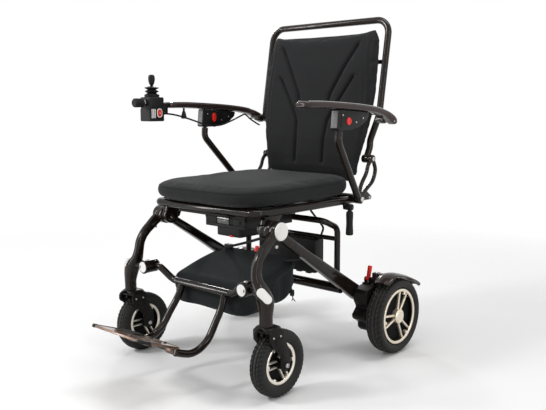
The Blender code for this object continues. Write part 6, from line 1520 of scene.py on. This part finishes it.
# Outlines stacked upward: each is a squared ring whose sides draw in between its corners, and the
# levels bulge at the side and close over a crown
def seatPadRings(options, count=132):
    angle = (fullTurn * (np.arange(count) + 0.5) / count)[None, :]
    levels = smoothRoute([(0.0, 0.026), (0.025, 0.015), (0.10, 0.007), (0.28, 0.0015), (0.45, 0.0),
                          (0.66, 0.0004), (0.80, 0.0022), (0.880, 0.0060), (0.930, 0.0120),
                          (0.962, 0.024), (0.982, 0.052), (0.994, 0.095), (1.0, 0.150)], 3)
    share, inset = levels[:, 0][:, None], levels[:, 1][:, None] + options["start"]
    c, s = np.cos(angle), np.sin(angle)
    power = np.where(s > 0, 0.36, 0.42)
    a, b = np.sign(c) * np.abs(c) ** power, np.sign(s) * np.abs(s) ** power
    narrow = 1 - 0.045 * np.maximum(0, b) - 0.032 * np.maximum(0, -b)
    x = (options["halfX"] - inset) * a * narrow * (1 - 0.012 * (1 - b * b))
    middle = (options["rear"] + options["front"]) / 2
    half = options["rear"] - middle - inset
    y = middle + half * b * (1 - 0.010 * (1 - a * a) * np.where(b > 0, 1.0, -0.6))
    back = (y - options["front"]) / (options["rear"] - options["front"])
    thick = options["frontThick"] + (options["rearThick"] - options["frontThick"]) * back
    z = options["base"] + options["start"] * 0.4 + share * (thick - options["start"])
    return np.stack([x, y, z], -1)


def seatCushion(options=seatPad):
    item = piece("seatCushion", [skin(seatPadRings(options))], seatCloth, None)
    low, high = (np.array(tuple(p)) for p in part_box("seat_cushion"))
    blownUp(item, (low + (0.0030, 0.0030, 0), high - (0.0030, 0.0010, 0.0005)), options)
    spots = spotsOf(item.data)
    x, y, z = spots[:, 0], spots[:, 1] - axleY, spots[:, 2]
    back = np.clip((y - options["front"]) / (options["rear"] - options["front"]), 0, 1)
    thick = options["frontThick"] + (options["rearThick"] - options["frontThick"]) * back
    level = (z - options["base"]) / thick
    middle = (options["front"] + options["rear"]) / 2
    out = np.stack([x / options["halfX"], (y - middle) / 0.226], -1)
    reach = np.max(np.abs(out), axis=1)
    outward = [x * np.abs(out[:, 0]) ** 6, (y - middle) * np.abs(out[:, 1]) ** 6, 0 * x]
    outward = unit(np.stack(outward, -1))
    side = eased(reach, 0.80, 0.95)
    # The boxing's upper seam, a third down the side, and the lower one just over the rail
    seam = hill(level, 0.66, 0.035) + 0.8 * hill(level, 0.13, 0.035)
    pipe = hill(level, 0.735, 0.030)
    # Upright creases run from the seam at the corners
    corner = hill(np.abs(out[:, 0]), 0.90, 0.05) * (1 - back)
    crease = np.sin(x * fullTurn / 0.013 + y * 90) * corner
    spots += outward * (side * (0.0009 * pipe - 0.0019 * seam - 0.0007 * np.abs(crease)))[:, None]
    top = eased(level, 0.75, 0.95)
    broad, fine = waves(spots, 0.21, 1.0), np.abs(waves(spots, 0.06, 2.0))
    spots[:, 2] += top * (0.0010 * broad - 0.0006 * fine - 0.0006)
    spots[:, 2] = np.maximum(spots[:, 2], options["base"])
    finishPad(item, spots, seatCloth, "seat", "seat_cushion")


backPad = {"low": 0.4955, "tall": 0.4085, "half": 0.2072, "thick": chair["padThick"], "groove": 0.0085,
           "width": 0.0046, "voxel": 0.0046, "pressure": 4.0, "bending": 0.5, "most": 0.008,
           "start": 0.0035}


# Level rings from the foot up: a superellipse with a fuller front and a flatter rear, thinner
# towards both ends, on a middle plane that leans back
def backPadRings(options, count=140):
    share = np.concatenate([(0.0, 0.004, 0.012, 0.025), np.linspace(0.045, 0.93, 60),
                            (0.95, 0.967, 0.98, 0.990, 0.996, 1.0)])[:, None]
    cadShare = backShare(options["low"] + options["tall"] * share)
    half = np.interp(cadShare, (0.0, 0.092, 0.226, 0.388, 0.550, 0.765, 0.927, 1.0),
                     (0.170, 0.178, 0.192, 0.2025, 0.2072, 0.2072, 0.200, 0.188))
    nearEnd = np.clip(np.minimum(share / 0.043, (1 - share) / 0.070), 0, 1)
    swell = 0.30 + 0.70 * np.sqrt(1 - (1 - nearEnd) ** 2)
    half = half * (0.95 + 0.05 * swell) - options["start"]
    angle = (fullTurn * (np.arange(count) + 0.5) / count)[None, :]
    c, s = np.cos(angle), np.sin(angle)
    a, b = np.sign(c) * np.abs(c) ** 0.62, np.sign(s) * np.abs(s) ** 0.45
    thick = (options["thick"] - options["start"] * 0.5) * swell * np.where(b > 0, 0.75, 1 - 0.20 * a ** 4)
    z = options["low"] + options["tall"] * share
    dip = 0.010 * np.maximum(0, (cadShare - 0.765) / 0.235) * (1 - a * a)
    return np.stack([half * a, backPlane(z) + thick * b, z - dip], -1)


def backCushion(options=backPad):
    item = piece("backCushion", [skin(backPadRings(options))], backCloth, None)
    low, high = (np.array(tuple(p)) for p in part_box("back_cushion"))
    low[2], high[2] = options["low"], options["low"] + options["tall"]
    low[0], high[0] = -options["half"], options["half"]
    blownUp(item, (low + 0.0004, high - 0.0004), options)
    spots = spotsOf(item.data)
    x, y, z = spots[:, 0], spots[:, 1] - axleY, spots[:, 2]
    share = backShare(z)
    shortV = np.interp(share, (0.0, 0.348, 0.429, 0.550, 0.755, 0.938, 1.0),
                       (0.030, 0.034, 0.052, 0.060, 0.103, 0.146, 0.150))
    longV = np.interp(share, (0.0, 0.199, 0.348, 0.442, 0.523, 0.704, 0.846, 1.0),
                      (0.052, 0.053, 0.0585, 0.078, 0.098, 0.143, 0.170, 0.168))
    depth = np.zeros(len(x))
    pillow = np.ones(len(x))
    # Each quilted groove: its line, where it fades in and out up the back, and its slant
    grooves = ((shortV, (0.429, 0.469), (0.900, 0.949), 0.72),
               (longV, (0.008, 0.038), (0.663, 0.712), 0.80))
    for line, fadeIn, fadeOut, slant in grooves:
        away = np.abs(np.abs(x) - line) * slant
        here = eased(share, *fadeIn) * (1 - eased(share, *fadeOut))
        depth += here * hill(away, 0, options["width"])
        pillow *= 1 - 0.9 * here * hill(away, 0, 0.014)
    front = eased(backPlane(z) - y, 0.001, 0.009)
    edge = 1 - eased(np.abs(x), 0.165, 0.195)
    ends = eased(share, 0.02, 0.10) * (1 - eased(share, 0.90, 0.97))
    # Upright folds beside the tubes, deeper towards the middle of the height
    folds = np.sin(np.abs(x) * fullTurn / 0.016 + 2.2 * np.sin(share * 9))
    folds = folds * eased(np.abs(x), 0.150, 0.185) * ends
    lift = 0.0022 * pillow * edge * ends - options["groove"] * depth + 0.0011 * folds
    lift += 0.0009 * waves(spots, 0.12, 4.0) * ends - 0.0012
    spots[:, 1] -= front * lift
    # A narrow binding runs round the edge
    spots[:, 0] -= np.sign(x) * 0.0012 * hill(y, backPlane(z), 0.0016) * eased(np.abs(x), 0.15, 0.17)
    finishPad(item, spots, backCloth, "back", "back_cushion")


# What hangs on the back pad: its skirt and the straps to the cross bars
def backFittings():
    # A narrow skirt hangs below the pad, behind the seat cushion
    t = np.linspace(0.4780, 0.5060, 8)
    skirt = np.stack([0 * t, backPlane(t) + 0.0010, t], -1)
    piece("backSkirt", [sweep(skirt, 0.158, 0.0012, alongY, 8.0, 32, rim=0.0004)], backCloth, "back")
    # Straps hold it to the two cross bars from behind
    straps, angle = [], np.linspace(-0.7 * np.pi, 0.7 * np.pi, 22)
    for bar, height in crossBars():
        for x in (-0.120, 0.0, 0.120):
            loop = np.stack([0 * angle + x, bar + 0.0072 * np.cos(angle),
                             height + 0.0072 * np.sin(angle)], -1)
            down = loop[:1] + np.array([(0, -0.0032, -0.022), (0, -0.0026, -0.010)])
            rise = loop[-1:] + np.array([(0, -0.0026, 0.010), (0, -0.0032, 0.022)])
            straps.append(sweep(np.vstack([down, loop, rise]), 0.0007, 0.012, acrossX, 5.0, 16))
    piece("backStraps", straps, webbing, "back")


bag = {"taper": 0.07, "count": 168,
       "stations": ((0.008, 0.172, 0.2020, 0.124, 3.5), (0.013, 0.162, 0.2180, 0.134, 5.0),
                    (0.026, 0.157, 0.2400, 0.142, 8.0), (0.056, 0.153, 0.2490, 0.149, 8.0),
                    (0.110, 0.160, 0.2640, 0.153, 8.0),
                    (0.165, 0.172, 0.2780, 0.150, 8.0), (0.203, 0.188, 0.2870, 0.142, 6.5),
                    (0.212, 0.203, 0.2780, 0.130, 3.5))}


# Squared rings along the bag's length under a flat slanting lid; the walls are rucked between the
# seams and the floor hangs in soft lobes
def bagRings(options=bag):
    rows = smoothRoute(options["stations"], 12)
    n, count = len(rows), options["count"]
    a, b = roundSection(rows[:, 4], count)
    low, high, half = rows[:, 1:2], rows[:, 2:3], rows[:, 3:4]
    run = np.linspace(0, 1, n)[:, None]
    ends = np.clip(np.minimum(run / 0.10, (1 - run) / 0.10), 0, 1)
    close = 0.93 + 0.07 * np.sqrt(1 - (1 - ends) ** 2)
    x = half * a * close
    z = (low + high) / 2 + (high - low) / 2 * b * close
    under = (high - z) / (high - low)
    x = x * (1 - options["taper"] * under ** 2)
    y = rows[:, :1] + 0 * x
    wall = eased(under, 0.10, 0.30) * ends
    # Rucks: a few sharp-edged folds that run down and forward from the rear corner
    slant = z * 62 + y * 48 + 2.0 * np.sin(y * 55) + np.sign(x) * 1.3
    cross = z * 31 - y * 95 + 1.6 * np.sin(z * 70 + 1)
    ruck = 0.55 * np.abs(np.sin(slant * 0.5)) + 0.45 * np.abs(np.sin(cross * 0.5))
    inward = 0.0095 * wall * (1 - ruck)
    dent = hill(y, 0.085, 0.012) * hill(z, 0.205, 0.030) + hill(y, 0.150, 0.010) * hill(z, 0.225, 0.030)
    inward = inward + 0.006 * wall * dent
    swell = 0.5 + 0.5 * np.cos(x / 0.150 * 4.2 + 0.6) * np.cos(y * 34)
    lobes = 0.0065 * eased(under, 0.72, 1.0) * swell
    across = np.cos(np.clip(x / half, -1, 1) * 1.45) ** 2
    sag = 0.0022 * (1 - eased(under, 0.03, 0.08)) * across * np.sin(run * np.pi)
    x = x - inward * a * np.clip(np.abs(a), 0, 1)
    z = z + (inward + lobes) * np.clip(-b, 0, 1) - sag
    return np.stack([x, y, z], -1)


def storageBag():
    rings = bagRings()
    middles = rings.mean(1, keepdims=True)
    first = middles[:1] + (rings[:1] - middles[:1]) * np.array((0.88, 1, 0.80))
    last = middles[-1:] + (rings[-1:] - middles[-1:]) * np.array((0.88, 1, 0.80))
    shell = piece("storageBag", [skin(np.concatenate([first, rings, last]))], bagCloth, "chassis",
                  ["storage_bag"], 60)
    bagStrap()
    for item in (shell, bagTrim(rings, middles), bagToggle()):
        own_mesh(item)


# Piping round the lid, webbing tabs up to the beams
def bagTrim(rings, middles):
    n, count = rings.shape[:2]
    angle = (np.arange(count) + 0.5) / count
    trims = []
    for spot in (0.125, 0.375):
        k = int(np.argmin(np.abs(angle - spot)))
        trims.append(sweep(rings[5:-5, k] * np.array((0.998, 1, 0.9995)), 0.0015, facing=acrossX,
                           count=12, rim=0.0004))
    for k in (7, n - 13):
        upper = (angle > 0.11) & (angle < 0.39)
        edge = (middles[k] + (rings[k] - middles[k]) * 0.9995)[upper]
        trims.append(sweep(edge, 0.0013, facing=alongY, count=12, rim=0.0004))
    t = np.linspace(0, 1, 9)[:, None]
    for side in (-1, 1):
        onLid, onBeam = np.array((side * 0.122, 0.188, 0.2815)), np.array((side * 0.1874, 0.188, 0.2960))
        path = onLid * (1 - t) + onBeam * t
        trims.append(sweep(path - upZ * 0.0012 * np.sin(t * np.pi), 0.0110, 0.0011, upZ, 5.0, 20))
    return piece("bagTrim", trims, webbing, "chassis")


# A slack strap runs from the lid's rear to the near knuckle; it isn't squashed with the bag
def bagStrap():
    t = np.linspace(0, 1, 25)[:, None]
    line = np.array((-0.104, 0.1914, 0.2900)) * (1 - t) + np.array((0.1650, 0.0600, 0.3685)) * t
    strap = sweep(line - upZ * 0.0015 * np.sin(t * np.pi), 0.0044, 0.0034, upZ, 4.0, 20, rim=0.0008)
    piece("bagStrap", [strap], webbing, "chassis")


# A cord toggle with two tails at the bag's rear, and the strap's slide on the lid
def bagToggle():
    toggleAt = np.array((0.1400, 0.1920, 0.1960))
    knob = turned([(0, -0.008), (0.0060, -0.008), (0.0064, 0.0), (0.0060, 0.008), (0, 0.008)], 0.0015,
                  toggleAt, "z", 32)
    tails = []
    for side in (-1, 1):
        line = ((-0.006, -0.010, 0.022), (0, -0.002, 0.012), (0, 0, 0), (0.001, 0.002, -0.014),
                (side * 0.006, 0.006, -0.024))
        route = smoothRoute(toggleAt + np.array(line), 6)
        tails.append(sweep(route, 0.0013, facing=acrossX, count=10, rim=0.0004))
    slide = block((-0.114, 0.184, 0.2845), (-0.088, 0.200, 0.2985), 0.0020, 0.004)
    return piece("bagToggle", [knob, *tails, slide], plastic, "chassis")


# Cords: round tubes on one smooth line each


def cordPiece(name, points, radius, body, node, joined=None):
    route = smoothRoute(points, 8)
    item = piece(name, [sweep(route, radius, facing=acrossX, count=20, rim=radius * 0.4)], cordSkin,
                 None if joined else body, [node], 60)
    if joined:
        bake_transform(item)
    return item


def cords():
    thin, thick = 0.0025, 0.0030
    x = -(chair["armX"] - 0.012 - thin - 0.0005)
    line = ((0.0703, 0.672), (0.084, 0.6708), (0.110, 0.6680), (0.140, 0.6620), (0.175, 0.6530),
            (0.210, 0.6430), (0.237, 0.6355), (0.268, 0.6335), (0.300, 0.6360), (0.330, 0.6440),
            (0.360, 0.6540), (0.388, 0.6640))
    cordPiece("controllerCable", [(x, b, c) for b, c in line], thin, "arm_right", "controller_cable")
    line = ((0.0, 0.3886, 0.6643), (0.0, 0.401, 0.6660), (0.0050, 0.418, 0.6520), (0.0130, 0.431, 0.6415),
            (0.0160, 0.441, 0.6355), (0.0162, 0.4495, 0.6325))
    cordPiece("armCableLoop", [(x + a, b, c) for a, b, c in line], thin, "back", "arm_cable_loop")
    top, side, y = 0.3182, 0.094, chair["hoopY"]
    line = ((-0.010, 0.330, 0.4156), (-0.009, 0.331, 0.4039), (0.0, 0.344, 0.3819),
            (0.012, 0.362, 0.3539), (0.012, 0.366, top + 0.024), (0.009, y + 0.0155, top + 0.010),
            (0.009, y + 0.0150, top + 0.0006))
    cordPiece("seatLoom", [(side + a, b, c) for a, b, c in line], thick, "chassis", "seat_loom",
              joined=("seat", "chassis"))
    # A moulded collar at the case, and a clip where the cable passes the latch
    collar = turned([(0.0026, 0.0), (0.0044, 0.0), (0.0036, 0.0110), (0.0026, 0.0120)], 0.0005,
                    (x, 0.0695, 0.672), "y", 32, closed=True)
    piece("cableCollar", [collar], grip, "arm_right")
    clip = lathe([(0.0026, -0.003), (0.0036, -0.003), (0.0036, 0.003), (0.0026, 0.003)],
                 (x, 0.268, 0.6335), "y", 28, closed=True)
    # A bell-shaped hanger under the arm carries the cable
    bell = turned([(0, 0.6862), (0.0030, 0.6862), (0.0030, 0.6790), (0.0052, 0.6740), (0.0076, 0.6640),
                   (0.0082, 0.6590), (0.0070, 0.6560), (0, 0.6560)], 0.0012, (x, 0.1480, 0), "z", 40)
    piece("cableHanger", [bell], boot, "arm_right")
    piece("cableClips", [clip], plastic, "arm_right")


# Floor, light and camera

def paleFloor():
    disc = lathe([(0, 0.0), (1.2, 0.0), (3.0, 0.0), (9.0, 0.0)], axis="z", count=96)
    mesh = bpy.data.meshes.new("floor")
    mesh.from_pydata(disc[0].tolist(), [], disc[1])
    f = Finish("paleFloor")
    # The floor turns into the white world far from the chair
    x, y = f.parts(f.spot)[:2]
    away = (x * x + y * y) ** 0.5
    fade = f.stops(away * 0.25, (0.28, 0.0), (0.60, 1.0))
    f.done(colour=(0.93, 0.93, 0.93), roughness=0.9, specular=0.0)
    solid, clear = Wire(f, f.shader.outputs[0]), f.node("ShaderNodeBsdfTransparent")
    mixed = f.node("ShaderNodeMixShader", None, {0: fade, 1: solid, 2: clear})
    f.fill(f.tree.nodes["Material Output"], {"Surface": mixed})
    mesh.materials.append(f.material)
    floor = bpy.data.objects.new("floor", mesh)
    bpy.context.scene.collection.objects.link(floor)


# Tall narrow lamps draw the long white lines along the tubes: place, watts, width, height
lampSizes = {
    "keyLamp": ((-1.5, -2.6, 2.6), 44.0, 0.60, 0.60), "stripLamp": ((-2.1, -2.1, 1.3), 26.0, 0.16, 2.6),
    "topLamp": ((0.5, 0.4, 3.3), 30.0, 0.30, 2.4), "sideLamp": ((3.0, -0.2, 1.3), 18.0, 0.14, 2.4),
    "backLamp": ((-2.4, 1.9, 1.8), 16.0, 0.4, 0.4),
}


def lamps():
    for name, (place, power, wide, tall) in lampSizes.items():
        light = bpy.data.lights.new(name, "AREA")
        light.shape, light.energy, light.size, light.size_y = "RECTANGLE", power, wide, tall
        lamp = bpy.data.objects.new(name, light)
        lamp.location = place
        lamp.rotation_euler = (Vector((0, 0, 0.45)) - Vector(place)).to_track_quat("-Z", "Y").to_euler()
        bpy.context.scene.collection.objects.link(lamp)


# White where the camera, a glossy surface or glass sees it, and half as bright as a light
def whiteWorld():
    world = bpy.data.worlds.new("paleRoom")
    bpy.context.scene.world = world
    sky, ambient = NodeTree(world), 0.50
    rays = sky.node("ShaderNodeLightPath").socket.node.outputs
    seen = 0.0
    for name in ("Is Camera Ray", "Is Glossy Ray", "Is Transmission Ray"):
        seen = sky.node("ShaderNodeMath", {"operation": "ADD", "use_clamp": True},
                        {0: Wire(sky, rays[name]), 1: seen})
    sky.fill(sky.tree.nodes["Background"],
             {"Strength": seen * (1 - ambient) + ambient, "Color": (1, 1, 1, 1)})
    bpy.context.scene.view_settings.view_transform = "Standard"


# Three-quarter view from the occupant's left front, a little above the seat
view = {"place": (1.3831, -1.3954, 0.6921), "azimuth": 42.354, "elevation": 7.749, "roll": -0.09,
        "focal": 727.9, "width": 546}


def cameraAtView(options=view):
    a, e, roll = (math.radians(options[k]) for k in ("azimuth", "elevation", "roll"))
    ahead = Vector((-math.sin(a) * math.cos(e), math.cos(a) * math.cos(e), -math.sin(e)))
    flat = ahead.cross(Vector((0, 0, 1))).normalized()
    up = flat.cross(ahead)
    right = flat * math.cos(roll) + up * math.sin(roll)
    up = up * math.cos(roll) - flat * math.sin(roll)
    lens = bpy.data.cameras.new("camera")
    lens.sensor_width = 36.0
    lens.lens = 36.0 * options["focal"] / options["width"]
    camera = bpy.data.objects.new("camera", lens)
    camera.matrix_world = Matrix((
        (right.x, up.x, -ahead.x, options["place"][0]), (right.y, up.y, -ahead.y, options["place"][1]),
        (right.z, up.z, -ahead.z, options["place"][2]), (0, 0, 0, 1)))
    bpy.context.scene.collection.objects.link(camera)
    bpy.context.scene.camera = camera


cameraAtView()
cords()
print("camera and cords")
frontWheels()
rearWheels()
motorDrums()
frontLegs()
legTrim()
pivotCaps()
footrestBrackets()
casterForks()
footrest()
print("wheels and front frame")
rearBeams()
rearHoop()
controlBox()
motorBrackets()
mudguards()
freewheelLevers()
print("rear chassis")
seatFrame()
batteryTray()
batteryPack()
foldLever()
backBrackets()
backFrame()
armrests()
armHinges()
latches()
releaseButtons()
armStruts()
controllerCase()
caseMarks()
caseScrews()
clampKnob()
joystick()
powerButton()
print("seat, back and arms")
for name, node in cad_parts.items():
    if not node.hide_render:
        node.data.materials.clear()
        node.data.materials.append(steel if "gimbal" in name else bracketPaint)
storageBag()
seatCushion()
backCushion()
backFittings()
print("soft goods")
paleFloor()
lamps()
whiteWorld()
